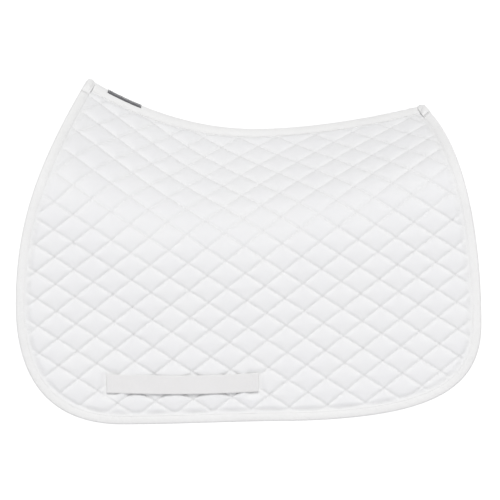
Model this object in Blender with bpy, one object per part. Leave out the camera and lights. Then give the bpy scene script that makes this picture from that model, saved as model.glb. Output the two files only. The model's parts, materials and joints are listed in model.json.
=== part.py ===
"""Quilted saddle pad, draped as it lies on a horse's back.

+X points to the withers, +Y to the horse's left and +Z up. The origin is on the underside of
the spine seam at its lowest point, where the pad sits on the horse. Lengths are in metres.

Each side of the pad is one curved sheet: a roof that slopes down from the spine, an eave where
it bends, and a skirt that hangs straight down. Every layer of a side is that sheet at its own
height, so the layers, the tape round their edge and the girth loop all follow the same surface.
"""

import bisect
import math

import bmesh
import bpy
from mathutils import Vector

# Spine seam, seen from the side
HALF_SPINE = 0.276  # from the lowest point of the seam to either end
WITHERS_RISE = 0.083
CANTLE_RISE = 0.0395
WITHERS_POWER = 2.0
CANTLE_POWER = 1.75

# Cross-section of a side
SKIRT_HALF_WIDTH = 0.170  # from the midplane to the skirt's inner face
EAVE_DEPTH = 0.140  # below the seam, at the middle of the pad
EAVE_FALL = 0.15  # how much deeper the eave gets per metre towards the withers
EAVE_SOFTNESS = 0.025
RIDGE_ROUNDING = 0.005

# Outline of a side, seen from the side
DROP = 0.463  # from the seam's lowest point to the bottom edge
FRONT_REACH = 0.3845  # from the middle to the furthest point of the front edge
FRONT_REACH_DEPTH = 0.271
FRONT_EDGE_FULLNESS = 0.118
FRONT_CORNER_FULLNESS = 0.118
BOTTOM_FRONT = 0.214  # where the front corner runs into the straight bottom edge
BOTTOM_REAR = -0.060  # where the bottom edge starts to sweep up
BOTTOM_SWEEP = 0.0055
REAR_REACH = 0.361
REAR_REACH_DEPTH = 0.302
REAR_EDGE_FULLNESS = 0.105
REAR_CORNER_FULLNESS = 0.112
REAR_CORNER_SWEEP = 0.210
WITHERS_EDGE_ANGLE = math.radians(60)  # below level, where the edge leaves the spine
WITHERS_EDGE_LEAD = 0.160  # how strongly the edge keeps to that angle
CANTLE_EDGE_ANGLE = math.radians(44)
CANTLE_EDGE_LEAD = 0.095

# Layers, from the horse outwards
LINING = 0.0012
FOAM = 0.0062
SHELL = 0.0012
PLY_GAP = 0.0003
SEAM_ALLOWANCE = 0.016  # from the midplane to the layers' top edge, under the spine tapes

# Tapes
BINDING_WIDTH = 0.0148  # on each face
BINDING = 0.0009
BINDING_GAP = 0.0008
BINDING_ROUND_STEPS = 3
FOLD_RISE = 0.0026  # of the binding over the spine tapes, where it crosses them at either end
SPINE_TAPE_HALF_WIDTH = 0.024
SPINE_TAPE_TUCK = 0.0063  # of the spine tapes under the binding, at either end
SPINE_TAPE_SHORTFALL = BINDING_WIDTH - SPINE_TAPE_TUCK
SPINE_TAPE = 0.0012
SPINE_TAPE_GAP = 0.0012
LABEL_LENGTH = 0.054
LABEL_FROM_END = 0.0285
LABEL_HALF_WIDTH = 0.0055
LABEL = 0.0005

# Girth loop
LOOP_REAR = -0.0035
LOOP_LENGTH = 0.242
LOOP_WIDTH = 0.030
LOOP_ABOVE_EDGE = 0.064  # from the pad's bottom edge to the loop's middle line
LOOP_CENTRE_DEPTH = DROP - LOOP_ABOVE_EDGE
WEBBING = 0.0014
LOOP_STANDOFF = 0.0080  # of the loop's inner face from the shell
LOOP_TAB = 0.014
LOOP_RAMP = 0.026
TACK_LENGTH = 0.0026
TACK_HEIGHT = 0.0008
TACK_INSET = 0.0055
TACK_SIDE_MARGIN = 0.002

# Mesh fineness
BEZIER_STEPS = 96
PANEL_COLUMNS = 18
ROOF_ROWS = 9
SKIRT_ROWS = 4
ROOF_SHARE = 0.60  # of the edge's length that the roof and the eave take
SPINE_STEPS = 20
SPINE_TAPE_ROWS = 10
SPINE_ROWS = 6
SLOPE_STEP = 1e-5
EDGE_STEP = 0.004

LAYERS_TOP = LINING + FOAM + SHELL + 2 * PLY_GAP

WHITE_COTTON = (0.90, 0.90, 0.92)
FOAM_CREAM = (0.93, 0.90, 0.80)
WHITE_WEBBING = (0.88, 0.87, 0.86)
THREAD_WHITE = (0.93, 0.93, 0.94)
LABEL_GREY = (0.35, 0.35, 0.37)


# ---- the surface that all layers follow ----


def ridge_height(x):
    """Height of the spine seam's underside."""
    if x >= 0:
        return WITHERS_RISE * (x / HALF_SPINE) ** WITHERS_POWER
    return CANTLE_RISE * (-x / HALF_SPINE) ** CANTLE_POWER


def eave_depth(x):
    return EAVE_DEPTH + EAVE_FALL * x


def roof_run(x):
    """How far the roof goes out for each metre that it goes down."""
    return SKIRT_HALF_WIDTH / eave_depth(x)


def depth_at(x, across):
    """Depth below the seam at which the roof is this far from the midplane."""
    straight = across / roof_run(x)
    return math.hypot(straight, RIDGE_ROUNDING) - RIDGE_ROUNDING


def surface_y(x, z):
    """Distance of the left side's inner face from the midplane."""
    depth = max(ridge_height(x) - z, 0.0)
    straight = math.sqrt((depth + RIDGE_ROUNDING) ** 2 - RIDGE_ROUNDING**2)
    past_eave = (straight - eave_depth(x)) / EAVE_SOFTNESS
    bent = EAVE_SOFTNESS * math.log1p(math.exp(past_eave))
    return roof_run(x) * (straight - bent)


def side_point(x, z, height):
    """Point this high above the left side's inner face, square to it."""
    slope_x = (surface_y(x + SLOPE_STEP, z) - surface_y(x - SLOPE_STEP, z)) / (2 * SLOPE_STEP)
    slope_z = (surface_y(x, z + SLOPE_STEP) - surface_y(x, z - SLOPE_STEP)) / (2 * SLOPE_STEP)
    outwards = Vector((-slope_x, 1.0, -slope_z)).normalized()
    return Vector((x, surface_y(x, z), z)) + height * outwards


def roof_height(x, across):
    return ridge_height(x) - depth_at(x, abs(across))


def spine_point(x, across, height):
    """Point this high above the roof near the spine, on either side of the midplane."""
    slope_x = roof_height(x + SLOPE_STEP, across) - roof_height(x - SLOPE_STEP, across)
    slope_y = roof_height(x, across + SLOPE_STEP) - roof_height(x, across - SLOPE_STEP)
    upwards = Vector((-slope_x, -slope_y, 2 * SLOPE_STEP)).normalized()
    return Vector((x, across, roof_height(x, across))) + height * upwards


# ---- the outline of a side, as a path in the XZ plane ----


def bezier(points):
    """The points of one cubic Bezier stretch, without its last point."""
    start, leave, arrive, end = (Vector(point) for point in points)
    stretch = []
    for step in range(BEZIER_STEPS):
        t = step / BEZIER_STEPS
        s = 1 - t
        stretch.append(s**3 * start + 3 * s * s * t * leave + 3 * s * t * t * arrive + t**3 * end)
    return stretch


def outline_path():
    """The edge of a side: from the withers down the front, along the bottom and up to the cantle."""
    withers = Vector((HALF_SPINE, ridge_height(HALF_SPINE)))
    cantle = Vector((-HALF_SPINE, ridge_height(-HALF_SPINE)))
    front = Vector((FRONT_REACH, -FRONT_REACH_DEPTH))
    rear = Vector((-REAR_REACH, -REAR_REACH_DEPTH))
    bottom_front = Vector((BOTTOM_FRONT, -DROP))
    bottom_rear = Vector((BOTTOM_REAR, -DROP + BOTTOM_SWEEP))
    withers_handle = Vector((math.cos(WITHERS_EDGE_ANGLE), -math.sin(WITHERS_EDGE_ANGLE)))
    cantle_handle = Vector((-math.cos(CANTLE_EDGE_ANGLE), -math.sin(CANTLE_EDGE_ANGLE)))
    bottom_handle = Vector(((BOTTOM_FRONT - BOTTOM_REAR) / 3, 0))
    stretches = (
        (
            withers,
            withers + WITHERS_EDGE_LEAD * withers_handle,
            front + Vector((0, FRONT_EDGE_FULLNESS)),
            front,
        ),
        (
            front,
            front - Vector((0, FRONT_CORNER_FULLNESS)),
            bottom_front + Vector((FRONT_CORNER_FULLNESS, 0)),
            bottom_front,
        ),
        (bottom_front, bottom_front - bottom_handle, bottom_rear + bottom_handle, bottom_rear),
        (
            bottom_rear,
            bottom_rear - Vector((REAR_CORNER_SWEEP, -BOTTOM_SWEEP)),
            rear - Vector((0, REAR_CORNER_FULLNESS)),
            rear,
        ),
        (
            rear,
            rear + Vector((0, REAR_EDGE_FULLNESS)),
            cantle + CANTLE_EDGE_LEAD * cantle_handle,
            cantle,
        ),
    )
    return [point for stretch in stretches for point in bezier(stretch)] + [cantle]


def seam_crossing(near, far):
    """Where the edge between these two points comes out from under the spine tapes."""
    for _ in range(30):
        middle = near.lerp(far, 0.5)
        if surface_y(*middle) < SEAM_ALLOWANCE:
            near = middle
        else:
            far = middle
    return far


class Edge:
    """The outline of a side, from the spine tapes at the withers to the spine tapes at the cantle."""

    def __init__(self):
        path = outline_path()
        outside = [i for i, point in enumerate(path) if surface_y(*point) >= SEAM_ALLOWANCE]
        first, last = outside[0], outside[-1]
        start = seam_crossing(path[first - 1], path[first])
        end = seam_crossing(path[last + 1], path[last])
        self.points = [start, *path[first : last + 1], end]
        self.lengths = [0.0]
        for before, after in zip(self.points, self.points[1:]):
            self.lengths.append(self.lengths[-1] + (after - before).length)
        self.front_corner = self.share_where(lambda point: point.x - point.y)
        self.rear_corner = self.share_where(lambda point: -point.x - point.y)

    def share_where(self, measure):
        """The share of the length at which a point has the most of this measure."""
        best = max(range(len(self.points)), key=lambda index: measure(self.points[index]))
        return self.lengths[best] / self.lengths[-1]

    def at(self, share):
        """The outline's point at this share of its length."""
        wanted = min(max(share, 0.0), 1.0) * self.lengths[-1]
        index = min(max(bisect.bisect_left(self.lengths, wanted), 1), len(self.lengths) - 1)
        before, after = self.lengths[index - 1], self.lengths[index]
        return self.points[index - 1].lerp(self.points[index], (wanted - before) / (after - before))

    def inset(self, share, distance):
        """The point this far inside the outline."""
        along = (self.at(share + EDGE_STEP) - self.at(share - EDGE_STEP)).normalized()
        return self.at(share) + distance * Vector((along.y, -along.x))


# ---- making objects ----


def clear_scene():
    for obj in list(bpy.data.objects):
        bpy.data.objects.remove(obj, do_unlink=True)


def new_collection(name):
    collection = bpy.data.collections.new(name)
    bpy.context.scene.collection.children.link(collection)
    return collection


def new_material(name, colour, roughness):
    material = bpy.data.materials.new(name)
    material.use_nodes = True
    shader = material.node_tree.nodes["Principled BSDF"]
    shader.inputs["Base Color"].default_value = (*colour, 1.0)
    shader.inputs["Roughness"].default_value = roughness
    shader.inputs["Metallic"].default_value = 0.0
    return material


def sheet(name, columns, rows, place, material, parent, side=1):
    """A flat slab bent to place(u, v, w), where w is 0 on its inner face and 1 on its outer face."""
    mesh = bpy.data.meshes.new(name)
    bm = bmesh.new()
    bmesh.ops.create_grid(bm, x_segments=columns, y_segments=rows, size=0.5)
    raised = bmesh.ops.extrude_face_region(bm, geom=bm.faces[:], use_keep_orig=True)["geom"]
    raised = [item for item in raised if isinstance(item, bmesh.types.BMVert)]
    bmesh.ops.translate(bm, vec=(0, 0, 1), verts=raised)
    bmesh.ops.recalc_face_normals(bm, faces=bm.faces)
    for vertex in bm.verts:
        point = place(vertex.co.x + 0.5, vertex.co.y + 0.5, vertex.co.z)
        vertex.co = (point.x, side * point.y, point.z)
    if side < 0:
        bmesh.ops.reverse_faces(bm, faces=bm.faces)
    bm.to_mesh(mesh)
    bm.free()
    mesh.materials.append(material)
    return add_object(name, mesh, parent)


def block(name, centre, size, material, parent):
    """A small closed block."""
    mesh = bpy.data.meshes.new(name)
    bm = bmesh.new()
    bmesh.ops.create_cube(bm, size=1.0)
    bmesh.ops.scale(bm, vec=size, verts=bm.verts)
    bm.to_mesh(mesh)
    bm.free()
    mesh.materials.append(material)
    obj = add_object(name, mesh, parent)
    obj.location = Vector(centre) - parent.location
    return obj


def add_object(name, mesh, parent):
    obj = bpy.data.objects.new(name, mesh)
    pad_collection.objects.link(obj)
    obj.parent = parent
    obj.location = -parent.location
    return obj


def pivot(name, location):
    empty = bpy.data.objects.new(name, None)
    empty.location = location
    pad_collection.objects.link(empty)
    return empty


# ---- the layers of a side ----


def row_share(v):
    """Spreads the grid's rows, closer together on the roof and the eave than on the skirt."""
    roof_rows = ROOF_ROWS / (ROOF_ROWS + SKIRT_ROWS)
    if v <= roof_rows:
        return v / roof_rows * ROOF_SHARE
    return ROOF_SHARE + (v - roof_rows) / (1 - roof_rows) * (1 - ROOF_SHARE)


def front_edge_share(v):
    return edge.front_corner * row_share(v)


def rear_edge_share(v):
    return 1 - (1 - edge.rear_corner) * row_share(v)


def bottom_edge_share(u):
    return edge.front_corner + (edge.rear_corner - edge.front_corner) * u


def panel_point(u, v, distance):
    """A point of a side in the XZ plane: u goes from the front to the rear, v from the spine down."""

    def top(u):
        x = edge.inset(0, distance).x * (1 - u) + edge.inset(1, distance).x * u
        return Vector((x, roof_height(x, SEAM_ALLOWANCE)))

    front = edge.inset(front_edge_share(v), distance)
    rear = edge.inset(rear_edge_share(v), distance)
    bottom = edge.inset(bottom_edge_share(u), distance)
    v = row_share(v)
    corners = (
        (1 - u) * (1 - v) * top(0)
        + u * (1 - v) * top(1)
        + (1 - u) * v * edge.inset(edge.front_corner, distance)
        + u * v * edge.inset(edge.rear_corner, distance)
    )
    return (1 - v) * top(u) + v * bottom + (1 - u) * front + u * rear - corners


def panel(name, height, thickness, material, parent, side):
    """One layer of a side, laid this high above the side's inner face."""

    def place(u, v, w):
        return side_point(*panel_point(u, 1 - v, BINDING + BINDING_GAP), height + w * thickness)

    return sheet(name, PANEL_COLUMNS, ROOF_ROWS + SKIRT_ROWS, place, material, parent, side)


def binding_section(w):
    """The fold round the layers' edge, as (inset, height) from the inner leg's end to the outer leg's."""
    low, high = -BINDING_GAP - w * BINDING, LAYERS_TOP + BINDING_GAP + w * BINDING
    middle, radius = (high + low) / 2, (high - low) / 2
    section = [(BINDING_WIDTH, low), (BINDING_WIDTH / 2, low)]
    for step in range(BINDING_ROUND_STEPS + 1):
        angle = math.pi * step / BINDING_ROUND_STEPS
        inset = BINDING * (1 - w) + BINDING_GAP / 2 * (1 - math.sin(angle))
        section.append((inset, middle - radius * math.cos(angle)))
    return section + [(BINDING_WIDTH / 2, high), (BINDING_WIDTH, high)]


def binding_shares():
    """The shares of the edge's length at which the layers have their corner points."""
    rows = ROOF_ROWS + SKIRT_ROWS
    down = [front_edge_share(row / rows) for row in range(rows)]
    along = [bottom_edge_share(column / PANEL_COLUMNS) for column in range(PANEL_COLUMNS)]
    up = [rear_edge_share(row / rows) for row in range(rows, -1, -1)]
    return down + along + up


def edge_binding(name, material, parent, side):
    """Tape folded round the edge of a side's layers."""
    shares = binding_shares()
    steps = len(binding_section(0)) - 1

    def place(u, v, w):
        inset, height = binding_section(w)[round(v * steps)]
        share = shares[round(u * (len(shares) - 1))]
        return side_point(*edge.inset(share, inset), height)

    return sheet(name, len(shares) - 1, steps, place, material, parent, side)


# ---- the girth loop ----


def girth_loop(side_name, materials, parent, side):
    """A flat webbing strap sewn down at both ends, held off the skirt between them."""
    shell_face = SKIRT_HALF_WIDTH + LAYERS_TOP
    tab_face, standing_face = shell_face + PLY_GAP, shell_face + LOOP_STANDOFF
    front = LOOP_REAR + LOOP_LENGTH
    line = [
        (LOOP_REAR, tab_face),
        (LOOP_REAR + LOOP_TAB, tab_face),
        (LOOP_REAR + LOOP_TAB + LOOP_RAMP, standing_face),
        (front - LOOP_TAB - LOOP_RAMP, standing_face),
        (front - LOOP_TAB, tab_face),
        (front, tab_face),
    ]

    def place(u, v, w):
        x, y = line[round((1 - u) * (len(line) - 1))]
        return Vector((x, y + w * WEBBING, -LOOP_CENTRE_DEPTH + (v - 0.5) * LOOP_WIDTH))

    sheet(f"girth_loop_{side_name}", len(line) - 1, 1, place, materials["webbing"], parent, side)
    tack_centre = tab_face + WEBBING + PLY_GAP + TACK_HEIGHT / 2
    tack_size = (TACK_LENGTH, TACK_HEIGHT, LOOP_WIDTH - 2 * TACK_SIDE_MARGIN)
    for end_name, x in (("front", front - TACK_INSET), ("rear", LOOP_REAR + TACK_INSET)):
        centre = (x, side * tack_centre, -LOOP_CENTRE_DEPTH)
        block(f"girth_loop_tack_{end_name}_{side_name}", centre, tack_size, materials["thread"], parent)


# ---- the spine ----


def spine_strip(name, ends, half_width, height, thickness, material, parent, rows=SPINE_ROWS):
    """A strip along the spine, bent over the ridge."""
    rear, front = ends

    def place(u, v, w):
        return spine_point(rear + (front - rear) * u, (2 * v - 1) * half_width, height + w * thickness)

    steps = max(4, round(SPINE_STEPS * (front - rear) / (2 * HALF_SPINE)))
    return sheet(name, steps, rows, place, material, parent)


def binding_fold(name, end, material, parent):
    """The stretch of binding that crosses the spine at one end of the seam, over the spine tapes."""
    steps = len(binding_section(0)) - 1

    def place(u, v, w):
        inset, height = binding_section(w)[round(v * steps)]
        height += FOLD_RISE * (2 * height / LAYERS_TOP - 1)
        across = (2 * u - 1) * (SEAM_ALLOWANCE - BINDING_GAP)
        return spine_point(end * (HALF_SPINE - inset), end * across, height)

    return sheet(name, SPINE_ROWS, steps, place, material, parent)


def make_spine(materials, parent):
    cotton = materials["cotton"]
    tape_end = HALF_SPINE - SPINE_TAPE_SHORTFALL
    tape_ends = (-tape_end, tape_end)
    outer = LAYERS_TOP + SPINE_TAPE_GAP
    inner = -SPINE_TAPE_GAP - SPINE_TAPE
    for name, height in (("spine_tape", outer), ("spine_lining_tape", inner)):
        spine_strip(
            name, tape_ends, SPINE_TAPE_HALF_WIDTH, height, SPINE_TAPE, cotton, parent, SPINE_TAPE_ROWS
        )
    core_end = HALF_SPINE - BINDING - BINDING_GAP
    core_half_width = SEAM_ALLOWANCE - PLY_GAP
    spine_strip(
        "spine_foam_strip", (-core_end, core_end), core_half_width, 0, LAYERS_TOP, materials["foam"], parent
    )
    label_front = HALF_SPINE - LABEL_FROM_END
    label_height = outer + SPINE_TAPE + PLY_GAP
    spine_strip(
        "woven_label",
        (label_front - LABEL_LENGTH, label_front),
        LABEL_HALF_WIDTH,
        label_height,
        LABEL,
        materials["label"],
        parent,
    )
    binding_fold("binding_fold_front", 1, cotton, parent)
    binding_fold("binding_fold_rear", -1, cotton, parent)


def make_side(side_name, side, materials, parent):
    foam_height = LINING + PLY_GAP
    shell_height = foam_height + FOAM + PLY_GAP
    panel(f"lining_{side_name}", 0.0, LINING, materials["cotton"], parent, side)
    panel(f"foam_core_{side_name}", foam_height, FOAM, materials["foam"], parent, side)
    panel(f"quilted_shell_{side_name}", shell_height, SHELL, materials["cotton"], parent, side)
    edge_binding(f"edge_binding_{side_name}", materials["cotton"], parent, side)
    girth_loop(side_name, materials, parent, side)


clear_scene()
pad_collection = new_collection("saddle_pad")
edge = Edge()
finishes = {
    "cotton": new_material("white_cotton", WHITE_COTTON, 0.85),
    "foam": new_material("foam", FOAM_CREAM, 0.95),
    "webbing": new_material("webbing", WHITE_WEBBING, 0.75),
    "thread": new_material("thread", THREAD_WHITE, 0.6),
    "label": new_material("woven_label", LABEL_GREY, 0.6),
}
fold_axis = Vector((0, 0, (WITHERS_RISE + CANTLE_RISE) / 2))
make_spine(finishes, pivot("spine", Vector((0, 0, 0))))
make_side("left", 1, finishes, pivot("left_fold", fold_axis))
make_side("right", -1, finishes, pivot("right_fold", fold_axis))
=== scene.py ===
"""The finished look of a quilted cotton saddle pad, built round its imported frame.

+X points to the withers, +Y to the horse's left and +Z up, in metres. Each side of the pad is one
curved sheet: a roof that slopes down from the spine, an eave where it bends, and a skirt that hangs
straight down. The quilting is worked out on flat cloth, puffed up by a cloth simulation there, and
then draped over that sheet, so its diamonds stretch and turn as real cloth does.
"""

import json
import logging
import math
from dataclasses import dataclass, field
from enum import Enum

import bpy
import numpy as np
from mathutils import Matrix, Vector


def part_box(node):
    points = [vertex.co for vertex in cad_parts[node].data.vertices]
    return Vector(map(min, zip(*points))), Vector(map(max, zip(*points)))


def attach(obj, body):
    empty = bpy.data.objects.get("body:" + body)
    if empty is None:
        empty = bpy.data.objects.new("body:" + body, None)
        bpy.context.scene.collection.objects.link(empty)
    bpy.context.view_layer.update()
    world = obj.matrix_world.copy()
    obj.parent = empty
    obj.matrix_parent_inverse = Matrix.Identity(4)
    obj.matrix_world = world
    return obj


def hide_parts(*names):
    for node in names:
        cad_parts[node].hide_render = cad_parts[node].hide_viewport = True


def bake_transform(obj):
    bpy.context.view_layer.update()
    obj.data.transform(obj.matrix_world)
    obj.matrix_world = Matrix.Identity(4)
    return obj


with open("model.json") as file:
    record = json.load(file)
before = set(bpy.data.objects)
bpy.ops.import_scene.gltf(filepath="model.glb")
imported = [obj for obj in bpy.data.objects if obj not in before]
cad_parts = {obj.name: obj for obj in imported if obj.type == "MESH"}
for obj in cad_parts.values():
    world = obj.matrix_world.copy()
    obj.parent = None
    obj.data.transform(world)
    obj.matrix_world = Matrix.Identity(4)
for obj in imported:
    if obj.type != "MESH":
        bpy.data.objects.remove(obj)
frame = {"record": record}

log = logging.getLogger("saddle_pad")
Array = np.ndarray

MILLIMETRE = 0.001


class Side(Enum):
    """A side of the horse, with the sign of Y there."""

    LEFT = 1
    RIGHT = -1

    @property
    def label(self) -> str:
        """The side's name in node and body names."""
        return self.name.lower()

    @property
    def body(self) -> str:
        """The body that this side's girth loop and its tack stitches are hung on."""
        return f"{self.label}_flap"


class Face(Enum):
    """A face of the pad's cloth."""

    OUTER = "outer"
    INNER = "inner"


class Weave(Enum):
    """How a cloth's threads cross, with how far its pattern leans towards a twill."""

    PLAIN = 0.0
    TWILL = 1.0


def smooth(value: Array) -> Array:
    """A soft step from 0 to 1."""
    share = np.clip(value, 0.0, 1.0)
    return share * share * (3.0 - 2.0 * share)


def framed(corner: int, axis: int, node: str = "edge_binding_left") -> float:
    """One side of a frame node's box: corner 0 is its lowest and 1 its highest."""
    return float(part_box(node)[corner][axis])


def spine_end(sign: int, axis: int) -> float:
    """Where an end of the spine seam is, which is where the folds' axis ends: 1 withers, -1 cantle."""
    fold = frame["record"]["behaviour"]["joints"][0]
    return fold["pos_m"][axis] + sign * fold["axis"][axis] / 2


# ---- the shape of a side ----


@dataclass(frozen=True)
class PadSurface:
    """The inner face of a side of the pad, as in the frame."""

    half_spine: float = field(default_factory=lambda: spine_end(1, 0))
    withers_rise: float = field(default_factory=lambda: spine_end(1, 2))
    cantle_rise: float = field(default_factory=lambda: spine_end(-1, 2))
    withers_power: float = 2.0
    cantle_power: float = 1.75
    half_width: float = 0.170
    eave_depth: float = 0.140
    eave_fall: float = 0.15
    eave_softness: float = 0.025
    ridge_rounding: float = 0.005
    near_ridge: float = 0.03
    step: float = 1e-5

    def seam(self, x: Array) -> Array:
        """Height of the spine seam's underside."""
        share = np.abs(x) / self.half_spine
        rear = self.cantle_rise * share**self.cantle_power
        return np.where(x >= 0, self.withers_rise * share**self.withers_power, rear)

    def eave(self, x: Array) -> Array:
        """Depth of the eave below the seam."""
        return self.eave_depth + self.eave_fall * x

    def across(self, x: Array, z: Array) -> Array:
        """Distance of the face from the midplane. Above the seam it runs on as a plane."""
        depth = self.seam(x) - z
        below = np.maximum(depth, 0.0) + self.ridge_rounding
        straight = np.where(depth > 0, np.sqrt(below**2 - self.ridge_rounding**2), depth)
        bent = self.eave_softness * np.logaddexp(0.0, (straight - self.eave(x)) / self.eave_softness)
        return self.half_width / self.eave(x) * (straight - bent)

    def roof(self, x: Array, across: Array) -> Array:
        """Height of the roof at this distance from the midplane."""
        straight = np.abs(across) * self.eave(x) / self.half_width
        return self.seam(x) - np.hypot(straight, self.ridge_rounding) + self.ridge_rounding

    def slopes(self, x: Array, z: Array) -> tuple[Array, Array]:
        """How fast the face goes out along X and along Z."""
        double = 2 * self.step
        along_x = self.across(x + self.step, z) - self.across(x - self.step, z)
        along_z = self.across(x, z + self.step) - self.across(x, z - self.step)
        return along_x / double, along_z / double

    def outwards(self, x: Array, z: Array) -> Array:
        """Unit vectors square to the left side's face."""
        slope_x, slope_z = self.slopes(x, z)
        skirt = np.stack([-slope_x, np.ones_like(x), -slope_z], -1)
        across = np.maximum(self.across(x, z), 0.0)
        roof_x = self.roof(x + self.step, across) - self.roof(x - self.step, across)
        roof_y = self.roof(x, across + self.step) - self.roof(x, across - self.step)
        roof = np.stack([-roof_x, -roof_y, np.full_like(x, 2 * self.step)], -1)
        near = (across < self.near_ridge)[..., None]
        chosen = np.where(near, roof, skirt)
        return chosen / np.linalg.norm(chosen, axis=-1, keepdims=True)

    def lay(self, x: Array, z: Array, height: Array, side: Side) -> Array:
        """Points this high above the face.

        Args:
            x: Places along the pad.
            z: Heights of the points' feet on the face.
            height: How far they stand off it, square to it.
            side: The side that they are on.

        Returns:
            One point a row.
        """
        foot = np.stack([x, np.maximum(self.across(x, z), 0.0), z], -1)
        points = foot + np.asarray(height)[..., None] * self.outwards(x, z)
        points[..., 1] *= side.value
        return points

    def lay_over_ridge(self, x: Array, across: Array, height: Array) -> Array:
        """Points this high above the roof near the spine, on both sides of the midplane."""
        points = self.lay(x, self.roof(x, across), height, Side.LEFT)
        points[..., 1] *= np.where(across < 0, -1.0, 1.0)
        return points

    def facing(self, x: Array, z: Array, side: Side) -> Array:
        """Unit vectors square to a side's face."""
        facing = self.outwards(x, z)
        facing[:, 1] *= side.value
        return facing

    def row_over_ridge(self, x: Array, across: Array, height: Array) -> tuple[Array, Array]:
        """A row of points near the spine, and the ways that the cloth faces there."""
        points = self.lay_over_ridge(x, across, height)
        above = self.lay_over_ridge(x, across, height + MILLIMETRE)
        return points, (above - points) / MILLIMETRE


@dataclass(frozen=True)
class SideOutline:
    """The edge of a side in the XZ plane, from the withers round to the cantle."""

    surface: PadSurface
    drop: float = field(default_factory=lambda: -framed(0, 2))
    front_reach: float = field(default_factory=lambda: framed(1, 0))
    front_reach_depth: float = 0.271
    front_edge_fullness: float = 0.118
    front_corner_fullness: float = 0.118
    bottom_front: float = 0.214
    bottom_rear: float = -0.060
    bottom_sweep: float = 0.0055
    rear_reach: float = field(default_factory=lambda: -framed(0, 0))
    rear_reach_depth: float = 0.302
    rear_edge_fullness: float = 0.105
    rear_corner_fullness: float = 0.112
    rear_corner_sweep: float = 0.210
    withers_angle: float = math.radians(60)
    withers_lead: float = 0.160
    cantle_angle: float = math.radians(44)
    cantle_lead: float = 0.095
    steps: int = 90
    points: Array = field(init=False, repr=False)
    lengths: Array = field(init=False, repr=False)

    def __post_init__(self) -> None:
        """Works the path out once."""
        path = self._path()
        runs = np.linalg.norm(np.diff(path, axis=0), axis=1)
        object.__setattr__(self, "points", path)
        object.__setattr__(self, "lengths", np.concatenate([[0.0], np.cumsum(runs)]))

    def _path(self) -> Array:
        """The outline's points, one a row."""
        end = self.surface.half_spine
        withers = np.array([end, float(self.surface.seam(np.float64(end)))])
        cantle = np.array([-end, float(self.surface.seam(np.float64(-end)))])
        front = np.array([self.front_reach, -self.front_reach_depth])
        rear = np.array([-self.rear_reach, -self.rear_reach_depth])
        low_front = np.array([self.bottom_front, -self.drop])
        low_rear = np.array([self.bottom_rear, -self.drop + self.bottom_sweep])
        third = np.array([(self.bottom_front - self.bottom_rear) / 3, 0.0])
        ahead = np.array([math.cos(self.withers_angle), -math.sin(self.withers_angle)])
        behind = np.array([-math.cos(self.cantle_angle), -math.sin(self.cantle_angle)])
        up, along = np.array([0.0, 1.0]), np.array([1.0, 0.0])
        sweep = np.array([self.rear_corner_sweep, -self.bottom_sweep])
        stretches = (
            (withers, withers + self.withers_lead * ahead, front + self.front_edge_fullness * up, front),
            (
                front,
                front - self.front_corner_fullness * up,
                low_front + self.front_corner_fullness * along,
                low_front,
            ),
            (low_front, low_front - third, low_rear + third, low_rear),
            (low_rear, low_rear - sweep, rear - self.rear_corner_fullness * up, rear),
            (rear, rear + self.rear_edge_fullness * up, cantle + self.cantle_lead * behind, cantle),
        )
        t = np.linspace(0.0, 1.0, self.steps, endpoint=False)[:, None]
        s = 1.0 - t
        laid = [s**3 * a + 3 * s * s * t * b + 3 * s * t * t * c + t**3 * d for a, b, c, d in stretches]
        return np.concatenate([*laid, cantle[None]])

    def at(self, distance: Array) -> Array:
        """The outline's points this far along it."""
        x = np.interp(distance, self.lengths, self.points[:, 0])
        z = np.interp(distance, self.lengths, self.points[:, 1])
        return np.stack([x, z], -1)

    def inwards(self, distance: Array) -> Array:
        """Unit vectors that point into the side, square to the outline."""
        reach = 0.004
        along = self.at(distance + reach) - self.at(distance - reach)
        along /= np.linalg.norm(along, axis=-1, keepdims=True)
        return np.stack([along[..., 1], -along[..., 0]], -1)

    def depth_inside(self, x: Array, z: Array) -> Array:
        """How far points lie inside the outline, negative outside it."""
        start, run = self.points[:-1], np.diff(self.points, axis=0)
        length2 = (run**2).sum(1)
        flat = np.stack([x.reshape(-1), z.reshape(-1)], -1)
        found = np.empty(len(flat))
        for first in range(0, len(flat), 8000):
            part = flat[first : first + 8000, None] - start
            share = np.clip((part * run).sum(-1) / length2, 0.0, 1.0)
            away = part - share[..., None] * run
            squared = (away**2).sum(-1)
            nearest = squared.argmin(1)
            row = np.arange(len(part))
            gap = away[row, nearest]
            inside = gap[:, 0] * run[nearest, 1] - gap[:, 1] * run[nearest, 0]
            found[first : first + 8000] = np.sqrt(squared[row, nearest]) * np.sign(inside)
        return found.reshape(x.shape)


# ---- cloth laid flat, and how it drapes ----


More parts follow.
